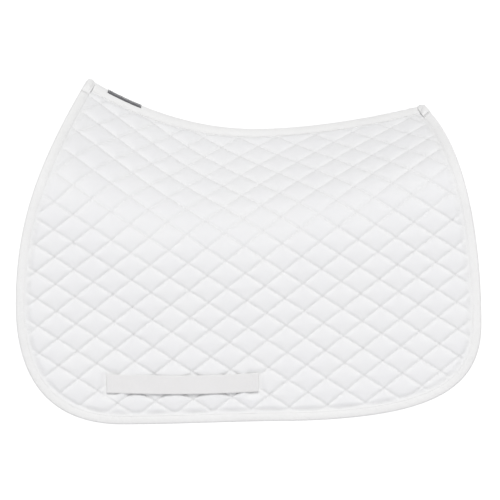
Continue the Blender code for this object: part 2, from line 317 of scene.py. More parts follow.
@dataclass
class DrapedCloth:
    """Flat cloth relaxed over a side, as a table from the cloth's own places to places on the side.

    The cloth's first axis runs to the withers and its second one up the skirt and the roof. It hangs
    straight in the skirt, where both axes are the side's X and Z.
    """

    surface: PadSurface
    outline: SideOutline
    step: float = 0.010
    along: tuple[float, float] = (-0.44, 0.46)
    up: tuple[float, float] = (-0.52, 0.27)
    held_below: float = -0.30
    seam_reserve: float = 0.14
    rounds: int = 800
    quick_rounds: int = 200
    pull: float = 0.8
    shear: float = 0.5
    cloth_x: Array = field(init=False, repr=False)
    cloth_z: Array = field(init=False, repr=False)
    places: Array = field(init=False, repr=False)

    def __post_init__(self) -> None:
        """Relaxes the cloth."""
        self.cloth_x = np.arange(self.along[0], self.along[1] + self.step / 2, self.step)
        self.cloth_z = np.arange(self.up[0], self.up[1] + self.step / 2, self.step)
        cloth = np.meshgrid(self.cloth_x, self.cloth_z, indexing="ij")
        x, z = cloth[0].copy(), self._hung(cloth[0], cloth[1])
        held = cloth[1] < self.held_below
        used = cloth[1] < self.surface.seam(cloth[0]) + self.seam_reserve
        for _ in range(self.rounds):
            move_x, move_z = self._relaxing_move(x, z, used)
            x += np.where(held, 0.0, move_x)
            z += np.where(held, 0.0, move_z)
        self.places = np.stack([x, z], -1)

    def _hung(self, cloth_x: Array, cloth_z: Array) -> Array:
        """Heights at which the cloth lies when each of its upright threads follows the side's section."""
        heights = np.linspace(self.up[0], 0.30, 1600)
        hung = np.empty_like(cloth_z)
        for column, x in enumerate(cloth_x[:, 0]):
            out = self.surface.across(np.full_like(heights, x), heights)
            run = np.hypot(np.diff(heights), np.diff(out))
            hung[column] = np.interp(
                cloth_z[column], np.concatenate([[0.0], np.cumsum(run)]) + self.up[0], heights
            )
        return hung

    def _relaxing_move(self, x: Array, z: Array, used: Array) -> tuple[Array, Array]:
        """The move along the side that brings the threads and their diagonals nearer their length."""
        points = np.stack([x, self.surface.across(x, z), z], -1)
        force, weight = np.zeros_like(points), np.zeros_like(x)
        for right, rise, stiffness in ((1, 0, 1.0), (0, 1, 1.0), (1, 1, self.shear), (1, -1, self.shear)):
            first = (slice(None, -1) if right else slice(None), _near(rise))
            second = (slice(1, None) if right else slice(None), _far(rise))
            gap = points[second] - points[first]
            length = np.linalg.norm(gap, axis=-1)
            share = stiffness * (used[first] & used[second])
            push = ((length - self.step * math.hypot(right, rise)) / length * share)[..., None] * gap
            force[first] += self.pull * push
            force[second] -= self.pull * push
            weight[first] += share
            weight[second] += share
        force /= np.maximum(weight, 1e-9)[..., None]
        slope_x, slope_z = self.surface.slopes(x, z)
        xx, xz, zz = 1 + slope_x**2, slope_x * slope_z, 1 + slope_z**2
        push_x = force[..., 0] + slope_x * force[..., 1]
        push_z = force[..., 2] + slope_z * force[..., 1]
        whole = xx * zz - xz**2
        return (zz * push_x - xz * push_z) / whole, (xx * push_z - xz * push_x) / whole

    def covers(self, cloth_x: Array, cloth_z: Array) -> Array:
        """Which places are on the cloth."""
        on_x = (cloth_x > self.cloth_x[0]) & (cloth_x < self.cloth_x[-1])
        return on_x & (cloth_z > self.cloth_z[0]) & (cloth_z < self.cloth_z[-1])

    def place(self, cloth_x: Array, cloth_z: Array) -> tuple[Array, Array]:
        """The X and Z on the side at which these places of the cloth come to lie."""
        column = np.clip((cloth_x - self.cloth_x[0]) / self.step, 0, len(self.cloth_x) - 1.001)
        row = np.clip((cloth_z - self.cloth_z[0]) / self.step, 0, len(self.cloth_z) - 1.001)
        i, j = column.astype(int), row.astype(int)
        u, v = (column - i)[..., None], (row - j)[..., None]
        near = self.places[i, j] * (1 - v) + self.places[i, j + 1] * v
        far = self.places[i + 1, j] * (1 - v) + self.places[i + 1, j + 1] * v
        found = near * (1 - u) + far * u
        return found[..., 0], found[..., 1]


def _near(rise: int) -> slice:
    """The rows that a spring of this rise starts from."""
    return {1: slice(None, -1), 0: slice(None), -1: slice(1, None)}[rise]


def _far(rise: int) -> slice:
    """The rows that a spring of this rise ends on."""
    return {1: slice(1, None), 0: slice(None), -1: slice(None, -1)}[rise]


@dataclass
class DiamondQuilting:
    """The diamonds that the two families of stitch lines leave on the flat cloth.

    A place is given by two numbers, one for each family. A whole number is on one of its lines.
    """

    cloth: DrapedCloth
    width: float = 0.061
    height: float = 0.0435
    centre: tuple[float, float] = (0.013, -0.309)
    row_tilt: float = math.radians(3.3)
    column_tilt: float = math.radians(2.4)
    roof_ease: float = 0.08  # how much further the lines climb for each metre above the skirt
    roof_margin: float = 0.03
    withers_turn: float = 0.12  # radians that the rise to the withers turns the cloth by
    turn_about: float = 0.14
    turn_reach: float = 0.28

    def on_cloth(self, first: Array, second: Array) -> tuple[Array, Array]:
        """Where these places are on the cloth, eased up into the roof and turned at the withers."""
        u = (first + second) * self.width / 2
        v = (first - second) * self.height / 2
        x = self.centre[0] + u * math.cos(self.row_tilt) + v * math.sin(self.column_tilt)
        z = self.centre[1] - u * math.sin(self.row_tilt) + v * math.cos(self.column_tilt)
        surface = self.cloth.surface
        above = np.maximum(z - surface.seam(x) + surface.eave(x) + self.roof_margin, 0.0)
        turn = self.withers_turn * smooth(x / self.turn_reach) * smooth(above / self.turn_about)
        return x - turn * above, z + self.roof_ease * above + turn * (x - self.turn_about)

    def on_side(self, first: Array, second: Array) -> tuple[Array, Array, Array]:
        """The X and Z of these places on the side, and which of them are on the cloth at all."""
        cloth_x, cloth_z = self.on_cloth(first, second)
        x, z = self.cloth.place(cloth_x, cloth_z)
        return x, z, self.cloth.covers(cloth_x, cloth_z)


@dataclass
class PaddingProfile:
    """How thick the pad is from place to place, without the swell of its diamonds."""

    surface: PadSurface
    outline: SideOutline
    loop: "GirthLoop"
    outer_valley: float = 0.0058
    inner_valley: float = 0.0030
    outer_swell: float = 0.0050
    inner_swell: float = 0.0026
    outer_edge: float = 0.0070
    inner_edge: float = 0.0020
    outer_ridge: float = 0.0100
    inner_ridge: float = 0.0005
    edge_row: float = 0.0185  # the stitch row that runs beside the binding
    edge_fade: float = 0.0035
    tape_middle: float = 0.0135
    tape_rear: float = 0.0165
    tape_fade: float = 0.007
    tape_hold: float = 0.001  # how far inside its edge the spine tape starts to let go
    spread_start: float = 0.03  # how far behind the middle the spine tape starts to spread
    spread_length: float = 0.20
    rib_swell: float = 0.16  # of the narrow rib between the binding and its stitch row
    rib_start: float = 0.0152
    rib_end: float = 0.0170
    rib_fade: float = 0.0012
    edge_level: float = 0.0156  # how far in the edge keeps its own height
    level_fade: float = 0.0028
    ridge_margin: float = 0.002

    def tape_half_width(self, x: Array) -> Array:
        """Half the width of the spine tape, which spreads towards the cantle."""
        spread = smooth((-x - self.spread_start) / self.spread_length)
        return self.tape_middle + (self.tape_rear - self.tape_middle) * spread

    def swell_share(self, x: Array, z: Array, inside: Array, across: Array) -> Array:
        """How freely a diamond can swell at a place, from 0 under a tape to 1."""
        from_edge = smooth((inside - self.edge_row) / self.edge_fade)
        rib = smooth((inside - self.rib_start) / self.rib_fade)
        between = self.rib_swell * rib * (1 - smooth((inside - self.rib_end) / self.rib_fade))
        from_tape = smooth((across - self.tape_half_width(x) + self.tape_hold) / self.tape_fade)
        pressed = self.loop.pressing(x, z)
        return (from_edge + between) * from_tape * (1.0 - pressed)

    def base(self, face: Face, x: Array, inside: Array, across: Array) -> Array:
        """Height of one face along the stitch lines."""
        valley, edge, ridge = {
            Face.OUTER: (self.outer_valley, self.outer_edge, self.outer_ridge),
            Face.INNER: (self.inner_valley, self.inner_edge, self.inner_ridge),
        }[face]
        near_edge = 1.0 - smooth((inside - self.edge_level) / self.level_fade)
        level = valley + (edge - valley) * near_edge
        near_ridge = 1.0 - smooth(across / (self.tape_half_width(x) + self.ridge_margin))
        return level + (ridge - level) * near_ridge


# ---- mesh making ----


def new_piece(
    name: str, points: Array, faces: list | Array, finish: "ClothFinish", uv: Array
) -> bpy.types.Object:
    """Makes a smooth-shaded mesh object at the origin.

    Args:
        name: The piece's name.
        points: Its corner points, one a row.
        faces: Its faces, as point numbers.
        finish: What it is made of.
        uv: A place in the cloth for each point, in metres, for the weave.

    Returns:
        The object.
    """
    mesh = bpy.data.meshes.new(name)
    mesh.from_pydata(points.tolist(), [], faces if isinstance(faces, list) else faces.tolist())
    layer = mesh.uv_layers.new(name="cloth")
    corner = np.empty(len(mesh.loops), np.int32)
    mesh.loops.foreach_get("vertex_index", corner)
    layer.data.foreach_set("uv", uv[corner].astype(np.float32).reshape(-1))
    mesh.polygons.foreach_set("use_smooth", np.ones(len(mesh.polygons), bool))
    mesh.materials.append(finish.material())
    mesh.update()
    obj = bpy.data.objects.new(name, mesh)
    bpy.context.scene.collection.objects.link(obj)
    return obj


def swept_faces(rings: int, around: int) -> Array:
    """Faces of a closed tube of quads between rings, without its ends."""
    ring = np.arange(rings - 1)[:, None] * around
    here, on = np.arange(around)[None], (np.arange(around) + 1)[None] % around
    return np.stack([ring + here, ring + on, ring + around + on, ring + around + here], -1).reshape(-1, 4)


def swept(
    name: str, rings: Array, finish: "ClothFinish", uv: Array, flip: bool = False
) -> bpy.types.Object:
    """Makes a tube through rings of points, closed at both ends.

    Args:
        name: The piece's name.
        rings: Ring by point by coordinate.
        finish: What it is made of.
        uv: Ring by point by cloth place.
        flip: Whether the rings run the other way round.

    Returns:
        The object.
    """
    count, around = rings.shape[:2]
    faces = swept_faces(count, around).tolist()
    faces.append(list(range(around))[::-1])
    faces.append(list(range((count - 1) * around, count * around)))
    if flip:
        faces = [face[::-1] for face in faces]
    obj = new_piece(name, rings.reshape(-1, 3), faces, finish, uv.reshape(-1, 2))
    for cap in obj.data.polygons[-2:]:
        cap.use_smooth = False
    return obj


def strip(
    name: str,
    surface: PadSurface,
    x: Array,
    across: Array,
    heights: tuple[Array, Array],
    finish: "ClothFinish",
    flip: bool,
) -> bpy.types.Object:
    """Makes a closed strip over the ridge.

    Args:
        name: The piece's name.
        surface: The side that it lies on.
        x: Places along the pad, one a row.
        across: Places across the midplane, one a column.
        heights: The heights of its visible face and of its back.
        finish: What it is made of.
        flip: Whether its rings run the other way round.

    Returns:
        The object.
    """
    seen, hidden = (surface.lay_over_ridge(x, across, height) for height in heights)
    rings = np.concatenate([seen, hidden[:, ::-1]], axis=1)
    uv = np.stack([x, across], -1)
    uv = np.concatenate([uv, uv[:, ::-1]], axis=1)
    return swept(name, rings, finish, uv, flip=flip)


def wavy(distance: Array, seed: int, waves: tuple[float, ...]) -> Array:
    """A seeded sum of waves of these lengths, between about -1 and 1."""
    rng = np.random.default_rng(seed)
    total = np.zeros_like(distance)
    for length in waves:
        total += rng.uniform(0.6, 1.0) * np.sin(2 * math.pi * (distance / length + rng.uniform()))
    return total / len(waves)


# ---- finishes ----


def shader_group(
    name: str, inputs: dict[str, float], outputs: dict[str, str]
) -> tuple[bpy.types.NodeTree, bpy.types.Node, bpy.types.Node]:
    """Starts a shader node group with a vector and some number inputs.

    Args:
        name: The group's name.
        inputs: Number inputs, with what they are unless set.
        outputs: Output names, with their socket types.

    Returns:
        The group, its input node and its output node.
    """
    group = bpy.data.node_groups.new(name, "ShaderNodeTree")
    group.interface.new_socket("Vector", in_out="INPUT", socket_type="NodeSocketVector")
    for label, value in inputs.items():
        socket = group.interface.new_socket(label, in_out="INPUT", socket_type="NodeSocketFloat")
        socket.default_value = value
    for label, kind in outputs.items():
        group.interface.new_socket(label, in_out="OUTPUT", socket_type=kind)
    return group, group.nodes.new("NodeGroupInput"), group.nodes.new("NodeGroupOutput")


class NodeMaths:
    """Short ways to write sums in a node tree."""

    def __init__(self, tree: bpy.types.NodeTree) -> None:
        """Works in this tree."""
        self.tree = tree

    def link(self, source, target) -> None:
        """Joins two sockets, or sets a plain number."""
        if isinstance(source, (int, float)):
            target.default_value = source
        else:
            self.tree.links.new(source, target)

    def do(self, operation: str, *values, clamp: bool = False):
        """One Math node's result."""
        node = self.tree.nodes.new("ShaderNodeMath")
        node.operation = operation
        node.use_clamp = clamp
        for value, socket in zip(values, node.inputs):
            self.link(value, socket)
        return node.outputs[0]

    def noise(self, vector, scale, detail: float = 2.0):
        """Noise of this scale, around 0.5."""
        node = self.tree.nodes.new("ShaderNodeTexNoise")
        node.inputs["Detail"].default_value = detail
        self.tree.links.new(vector, node.inputs["Vector"])
        self.link(scale, node.inputs["Scale"])
        return node.outputs["Fac"]


def woven_threads() -> bpy.types.NodeTree:
    """The group that draws crossing threads: Height is their relief, and its second output marks painted
    shade in the hollows between them.
    """
    name = "woven_threads"
    if name in bpy.data.node_groups:
        return bpy.data.node_groups[name]
    group, source, result = shader_group(
        name, {"Pitch": 0.0005, "Twill": 0.0}, {"Height": "NodeSocketFloat", "Open": "NodeSocketFloat"}
    )
    sums = NodeMaths(group)
    split = group.nodes.new("ShaderNodeSeparateXYZ")
    group.links.new(source.outputs["Vector"], split.inputs[0])
    turn = sums.do("DIVIDE", 2 * math.pi, source.outputs["Pitch"])
    u = sums.do("MULTIPLY", split.outputs["X"], turn)
    v = sums.do("MULTIPLY", split.outputs["Y"], turn)
    plain = sums.do("MULTIPLY", sums.do("SINE", u), sums.do("SINE", v))
    rib = sums.do("MULTIPLY", sums.do("SINE", sums.do("ADD", u, v)), 0.8)
    twill = sums.do("ADD", rib, sums.do("MULTIPLY", sums.do("SINE", u), 0.2))
    twilled = sums.do("MULTIPLY", twill, source.outputs["Twill"])
    plained = sums.do("MULTIPLY", plain, sums.do("SUBTRACT", 1.0, source.outputs["Twill"]))
    height = sums.do("MULTIPLY_ADD", sums.do("ADD", twilled, plained), 0.5, 0.5)
    sums.link(height, result.inputs["Height"])
    # painted shade: where the threads' relief is low, between them
    sums.link(sums.do("SUBTRACT", 1.0, sums.do("MULTIPLY", height, 4.0, clamp=True)), result.inputs["Open"])
    return group


def cloth_wear() -> bpy.types.NodeTree:
    """The group that varies a cloth: Tone is a slow change of shade, Crease the relief of fine creases."""
    name = "cloth_wear"
    if name in bpy.data.node_groups:
        return bpy.data.node_groups[name]
    group, source, result = shader_group(
        name, {"Patch": 14.0, "Crease Scale": 90.0}, {"Tone": "NodeSocketFloat", "Crease": "NodeSocketFloat"}
    )
    sums = NodeMaths(group)
    slow = sums.noise(source.outputs["Vector"], source.outputs["Patch"], 3.0)
    fine = sums.noise(source.outputs["Vector"], sums.do("MULTIPLY", source.outputs["Patch"], 9.0), 2.0)
    tone = sums.do("ADD", sums.do("MULTIPLY", slow, 0.75), sums.do("MULTIPLY", fine, 0.25))
    creases = sums.noise(source.outputs["Vector"], source.outputs["Crease Scale"], 2.0)
    ridged = sums.do("ABSOLUTE", sums.do("SUBTRACT", creases, 0.5))
    sums.link(tone, result.inputs["Tone"])
    sums.link(sums.do("SUBTRACT", 1.0, sums.do("MULTIPLY", ridged, 4.0, clamp=True)), result.inputs["Crease"])
    return group


@dataclass(frozen=True)
class ClothFinish:
    """A woven cloth or thread: its colours, its weave and how it takes the light."""

    name: str
    colour: tuple[float, float, float]
    # the darker colour: mixed in for random tone, and as painted shade between the threads and on the puffs
    shade: tuple[float, float, float]
    slot: str
    weave: Weave = Weave.PLAIN
    thread_pitch: float = 0.0006
    thread_relief: float = 0.00006
    crease_relief: float = 0.0002
    crease_scale: float = 90.0
    patch: float = 14.0
    roughness: float = 0.9
    sheen: float = 0.15
    # how much painted bluish shade the puffs take from their swell
    loft_tint: float = 0.0

    def material(self) -> bpy.types.Material:
        """The finish as a material, made once."""
        if self.name in bpy.data.materials:
            return bpy.data.materials[self.name]
        material = bpy.data.materials.new(self.name)
        material.use_nodes = True
        tree = material.node_tree
        sums = NodeMaths(tree)
        shader = tree.nodes["Principled BSDF"]
        shader.inputs["Sheen Weight"].default_value = self.sheen
        shader.inputs["Sheen Roughness"].default_value = 0.5
        shader.inputs["Specular IOR Level"].default_value = 0.25
        cloth = tree.nodes.new("ShaderNodeUVMap")
        cloth.uv_map = "cloth"
        place = tree.nodes.new("ShaderNodeTexCoord").outputs["Object"]
        threads = self._group(tree, woven_threads(), cloth.outputs["UV"])
        threads.inputs["Pitch"].default_value = self.thread_pitch
        threads.inputs["Twill"].default_value = self.weave.value
        wear = self._group(tree, cloth_wear(), place)
        wear.inputs["Patch"].default_value = self.patch
        wear.inputs["Crease Scale"].default_value = self.crease_scale
        mix = tree.nodes.new("ShaderNodeMix")
        mix.data_type = "RGBA"
        mix.inputs[6].default_value = (*self.colour, 1.0)
        mix.inputs[7].default_value = (*self.shade, 1.0)
        tone = sums.do("MULTIPLY_ADD", wear.outputs["Tone"], 2.2, -0.75, clamp=True)
        # painted shade: the hollows between threads take part of the darker colour
        gap_shade = sums.do("MULTIPLY", threads.outputs["Open"], 0.35)
        amount = sums.do("ADD", sums.do("MULTIPLY", tone, 0.55), gap_shade, clamp=True)
        # painted shade: the more a puff swells, the more of the bluish darker colour it takes
        if self.loft_tint:
            loft = tree.nodes.new("ShaderNodeAttribute")
            loft.attribute_name = "loft"
            swollen = sums.do("MULTIPLY", loft.outputs["Fac"], self.loft_tint)
            amount = sums.do("ADD", sums.do("MULTIPLY", amount, 0.5), swollen, clamp=True)
        sums.link(amount, mix.inputs[0])
        sums.link(mix.outputs[2], shader.inputs["Base Color"])
        rough = sums.do("MULTIPLY_ADD", wear.outputs["Tone"], 0.12, self.roughness - 0.06)
        sums.link(rough, shader.inputs["Roughness"])
        woven = sums.do("MULTIPLY", threads.outputs["Height"], self.thread_relief)
        creased = sums.do("MULTIPLY", wear.outputs["Crease"], self.crease_relief)
        bump = tree.nodes.new("ShaderNodeBump")
        bump.inputs["Distance"].default_value = 1.0
        bump.inputs["Strength"].default_value = 1.0
        sums.link(sums.do("ADD", woven, creased), bump.inputs["Height"])
        sums.link(bump.outputs["Normal"], shader.inputs["Normal"])
        return material

    @staticmethod
    def _group(tree: bpy.types.NodeTree, group: bpy.types.NodeTree, vector):
        """Places a shared group, reading this vector."""
        node = tree.nodes.new("ShaderNodeGroup")
        node.node_tree = group
        tree.links.new(vector, node.inputs["Vector"])
        return node


# Each finish's second colour is darker: it is mixed in for random tone and as painted shade between the
# threads; the cottons also take it as painted bluish shade on their puffs.
SHELL_COTTON = ClothFinish(
    "quilted_cotton",
    (0.905, 0.905, 0.90),
    (0.865, 0.865, 0.885),
    "cotton",
    loft_tint=0.35,
    crease_relief=0.00006,
)
LINING_COTTON = ClothFinish(
    "lining_cotton", (0.90, 0.90, 0.90), (0.845, 0.845, 0.86), "cotton", thread_pitch=0.0008, loft_tint=0.25
)
BINDING_TWILL = ClothFinish(
    "binding_twill",
    (0.92, 0.918, 0.91),
    (0.86, 0.857, 0.852),
    "binding",
    weave=Weave.TWILL,
    thread_pitch=0.0010,
    thread_relief=0.00010,
    crease_relief=0.00025,
)
LOOP_WEBBING = ClothFinish(
    "loop_webbing",
    (0.875, 0.868, 0.864),
    (0.825, 0.816, 0.812),
    "webbing",
    thread_pitch=0.0016,
    thread_relief=0.00022,
    crease_relief=0.0001,
    roughness=0.75,
    sheen=0.3,
)
SEWING_THREAD = ClothFinish(
    "sewing_thread",
    (0.90, 0.90, 0.90),
    (0.83, 0.83, 0.85),
    "thread",
    roughness=0.55,
    sheen=0.35,
    crease_relief=0.00003,
)
LABEL_SATIN = ClothFinish(
    "label_satin",
    (0.105, 0.105, 0.115),
    (0.16, 0.16, 0.17),
    "label",
    weave=Weave.TWILL,
    thread_pitch=0.0005,
    roughness=0.45,
    sheen=0.5,
    crease_relief=0.00005,
)


# ---- stitches ----


@dataclass
class StitchRows:
    """Rows of stitches made by one Geometry Nodes tree: a small thread lozenge every pitch along a path."""

    pitch: float = 0.0034
    length: float = 0.0026
    thread: float = 0.00042
    name: str = "stitch_rows"

    def tree(self) -> bpy.types.NodeTree:
        """The tree, made once."""
        if self.name in bpy.data.node_groups:
            return bpy.data.node_groups[self.name]
        tree = bpy.data.node_groups.new(self.name, "GeometryNodeTree")
        sockets = tree.interface
        sockets.new_socket("Geometry", in_out="INPUT", socket_type="NodeSocketGeometry")
        for label in ("Pitch", "Stitch Length", "Thread Radius"):
            sockets.new_socket(label, in_out="INPUT", socket_type="NodeSocketFloat")
        sockets.new_socket("Finish", in_out="INPUT", socket_type="NodeSocketMaterial")
        sockets.new_socket("Geometry", in_out="OUTPUT", socket_type="NodeSocketGeometry")
        nodes, links = tree.nodes, tree.links
        source, result = nodes.new("NodeGroupInput"), nodes.new("NodeGroupOutput")
        curve = nodes.new("GeometryNodeMeshToCurve")
        resample = nodes.new("GeometryNodeResampleCurve")
        resample.mode = "LENGTH"
        facing = nodes.new("GeometryNodeInputNamedAttribute")
        facing.data_type = "FLOAT_VECTOR"
        facing.inputs["Name"].default_value = "facing"
        tangent = nodes.new("GeometryNodeInputTangent")
        along = nodes.new("FunctionNodeAlignRotationToVector")
        along.axis = "X"
        square = nodes.new("FunctionNodeAlignRotationToVector")
        square.axis = "Z"
        square.pivot_axis = "X"
        lozenge = nodes.new("GeometryNodeMeshUVSphere")
        lozenge.inputs["Segments"].default_value = 6
        lozenge.inputs["Rings"].default_value = 3
        turned = nodes.new("GeometryNodeTransform")
        turned.inputs["Rotation"].default_value = (0.0, math.pi / 2, 0.0)
        size = nodes.new("ShaderNodeCombineXYZ")
        half = nodes.new("ShaderNodeMath")
        half.operation = "MULTIPLY"
        half.inputs[1].default_value = 0.5
        shaped = nodes.new("GeometryNodeTransform")
        instance = nodes.new("GeometryNodeInstanceOnPoints")
        realize = nodes.new("GeometryNodeRealizeInstances")
        shade = nodes.new("GeometryNodeSetShadeSmooth")
        finish = nodes.new("GeometryNodeSetMaterial")
        for start, end in (
            (source.outputs["Geometry"], curve.inputs["Mesh"]),
            (curve.outputs["Curve"], resample.inputs["Curve"]),
            (source.outputs["Pitch"], resample.inputs["Length"]),
            (tangent.outputs[0], along.inputs["Vector"]),
            (along.outputs[0], square.inputs["Rotation"]),
            (facing.outputs[0], square.inputs["Vector"]),
            (lozenge.outputs["Mesh"], turned.inputs["Geometry"]),
            (source.outputs["Stitch Length"], half.inputs[0]),
            (half.outputs[0], size.inputs["X"]),
            (source.outputs["Thread Radius"], size.inputs["Y"]),
            (source.outputs["Thread Radius"], size.inputs["Z"]),
            (turned.outputs[0], shaped.inputs["Geometry"]),
            (size.outputs[0], shaped.inputs["Scale"]),
            (resample.outputs[0], instance.inputs["Points"]),
            (shaped.outputs[0], instance.inputs["Instance"]),
            (square.outputs[0], instance.inputs["Rotation"]),
            (instance.outputs[0], realize.inputs[0]),
            (realize.outputs[0], shade.inputs[0]),
            (shade.outputs[0], finish.inputs["Geometry"]),
            (source.outputs["Finish"], finish.inputs["Material"]),
            (finish.outputs[0], result.inputs[0]),
        ):
            links.new(start, end)
        return tree

    def sew(self, name: str, rows: list[tuple[Array, Array]], finish: ClothFinish) -> bpy.types.Object:
        """Makes one piece of stitches.

        Args:
            name: The piece's name.
            rows: For each row, its points and the ways that the cloth faces there.
            finish: The thread.

        Returns:
            The object, as a plain mesh.
        """
        points = np.concatenate([row[0] for row in rows])
        facing = np.concatenate([row[1] for row in rows])
        edges, first = [], 0
        for row in rows:
            count = len(row[0])
            edges += [(first + i, first + i + 1) for i in range(count - 1)]
            first += count
        guide = bpy.data.meshes.new(f"{name}_guide")
        guide.from_pydata(points.tolist(), edges, [])
        layer = guide.attributes.new("facing", "FLOAT_VECTOR", "POINT")
        layer.data.foreach_set("vector", facing.astype(np.float32).reshape(-1))
        obj = bpy.data.objects.new(name, guide)
        bpy.context.scene.collection.objects.link(obj)
        modifier = obj.modifiers.new("stitches", "NODES")
        modifier.node_group = self.tree()
        values = {
            "Pitch": self.pitch,
            "Stitch Length": self.length,
            "Thread Radius": self.thread,
            "Finish": finish.material(),
        }
        for item in self.tree().interface.items_tree:
            if item.in_out == "INPUT" and item.name in values:
                modifier[item.identifier] = values[item.name]
        evaluated = obj.evaluated_get(bpy.context.evaluated_depsgraph_get())
        mesh = bpy.data.meshes.new_from_object(evaluated)
        obj.modifiers.remove(modifier)
        obj.data = mesh
        mesh.name = name
        bpy.data.meshes.remove(guide)
        return obj


# ---- the quilted cloth ----


@dataclass
class QuiltPuff:
    """The swell of the quilting, found on the flat cloth.

    The cloth is held along every stitch line and blown up between them, cut to the size of the
    flat that it covers. It is worked out at ten times its size,
    because a cloth simulation's weights suit large cloth.
    """

    quilting: DiamondQuilting
    scale: float = 10.0
    pressure: float = 4.0
    mass: float = 0.05
    spare_cloth: float = 0.0
    frames: int = 6
    rest_swell: float = 0.0006
    rest_noise: float = 0.0001
    most_swell: float = 0.0062
    most_shift: float = 0.0010
    seed: int = 3

    def swell(self, first: Array, second: Array, faces: Array) -> Array:
        """How the cloth moves when it puffs up.

        Args:
            first: The points' places along the first family's count.
            second: The points' places along the second family's count.
            faces: The cloth's faces, as point numbers.

        Returns:
            For each point, its move along the diamonds' width and height and its rise, in metres.
        """
        width, height = self.quilting.width * self.scale, self.quilting.height * self.scale
        u, v = (first + second) * width / 2, (first - second) * height / 2
        held = np.isclose(first, np.round(first)) | np.isclose(second, np.round(second))
        rng = np.random.default_rng(self.seed)
        rise = self.scale * (self.rest_swell + self.rest_noise * rng.normal(size=u.shape)) * ~held
        start = np.stack([u, v, rise], -1)
        mesh = bpy.data.meshes.new("flat_cloth")
        mesh.from_pydata(start.tolist(), [], faces.tolist())
        obj = bpy.data.objects.new("flat_cloth", mesh)
        bpy.context.scene.collection.objects.link(obj)
        edge = np.ones(len(u), bool)
        edge[self._inner_points(faces, len(u))] = False
        group = obj.vertex_groups.new(name="held")
        group.add(np.nonzero(held | edge)[0].tolist(), 1.0, "REPLACE")
        self._cloth(obj)
        scene = bpy.context.scene
        for number in range(1, self.frames + 1):
            scene.frame_set(number)
        evaluated = obj.evaluated_get(bpy.context.evaluated_depsgraph_get())
        blown = np.empty(len(u) * 3)
        evaluated.data.vertices.foreach_get("co", blown)
        scene.frame_set(1)
        bpy.data.objects.remove(obj)
        move = (blown.reshape(-1, 3) - start) / self.scale
        move[:, 2] = np.clip(blown.reshape(-1, 3)[:, 2] / self.scale, 0.0, self.most_swell)
        move[:, :2] = np.clip(move[:, :2], -self.most_shift, self.most_shift)
        return move

    @staticmethod
    def _inner_points(faces: Array, count: int) -> Array:
        """The points that four faces share."""
        return np.nonzero(np.bincount(faces.reshape(-1), minlength=count) == 4)[0]

    def _cloth(self, obj: bpy.types.Object) -> None:
        """Gives the flat cloth its simulation."""
        cloth = obj.modifiers.new("cloth", "CLOTH")
        settings = cloth.settings
        settings.vertex_group_mass = "held"
        settings.use_pressure = True
        settings.uniform_pressure_force = self.pressure
        settings.mass = self.mass
        settings.shrink_min = -self.spare_cloth
        settings.effector_weights.gravity = 0.0
        cloth.collision_settings.use_collision = False
        cloth.point_cache.frame_start = 1
        cloth.point_cache.frame_end = self.frames


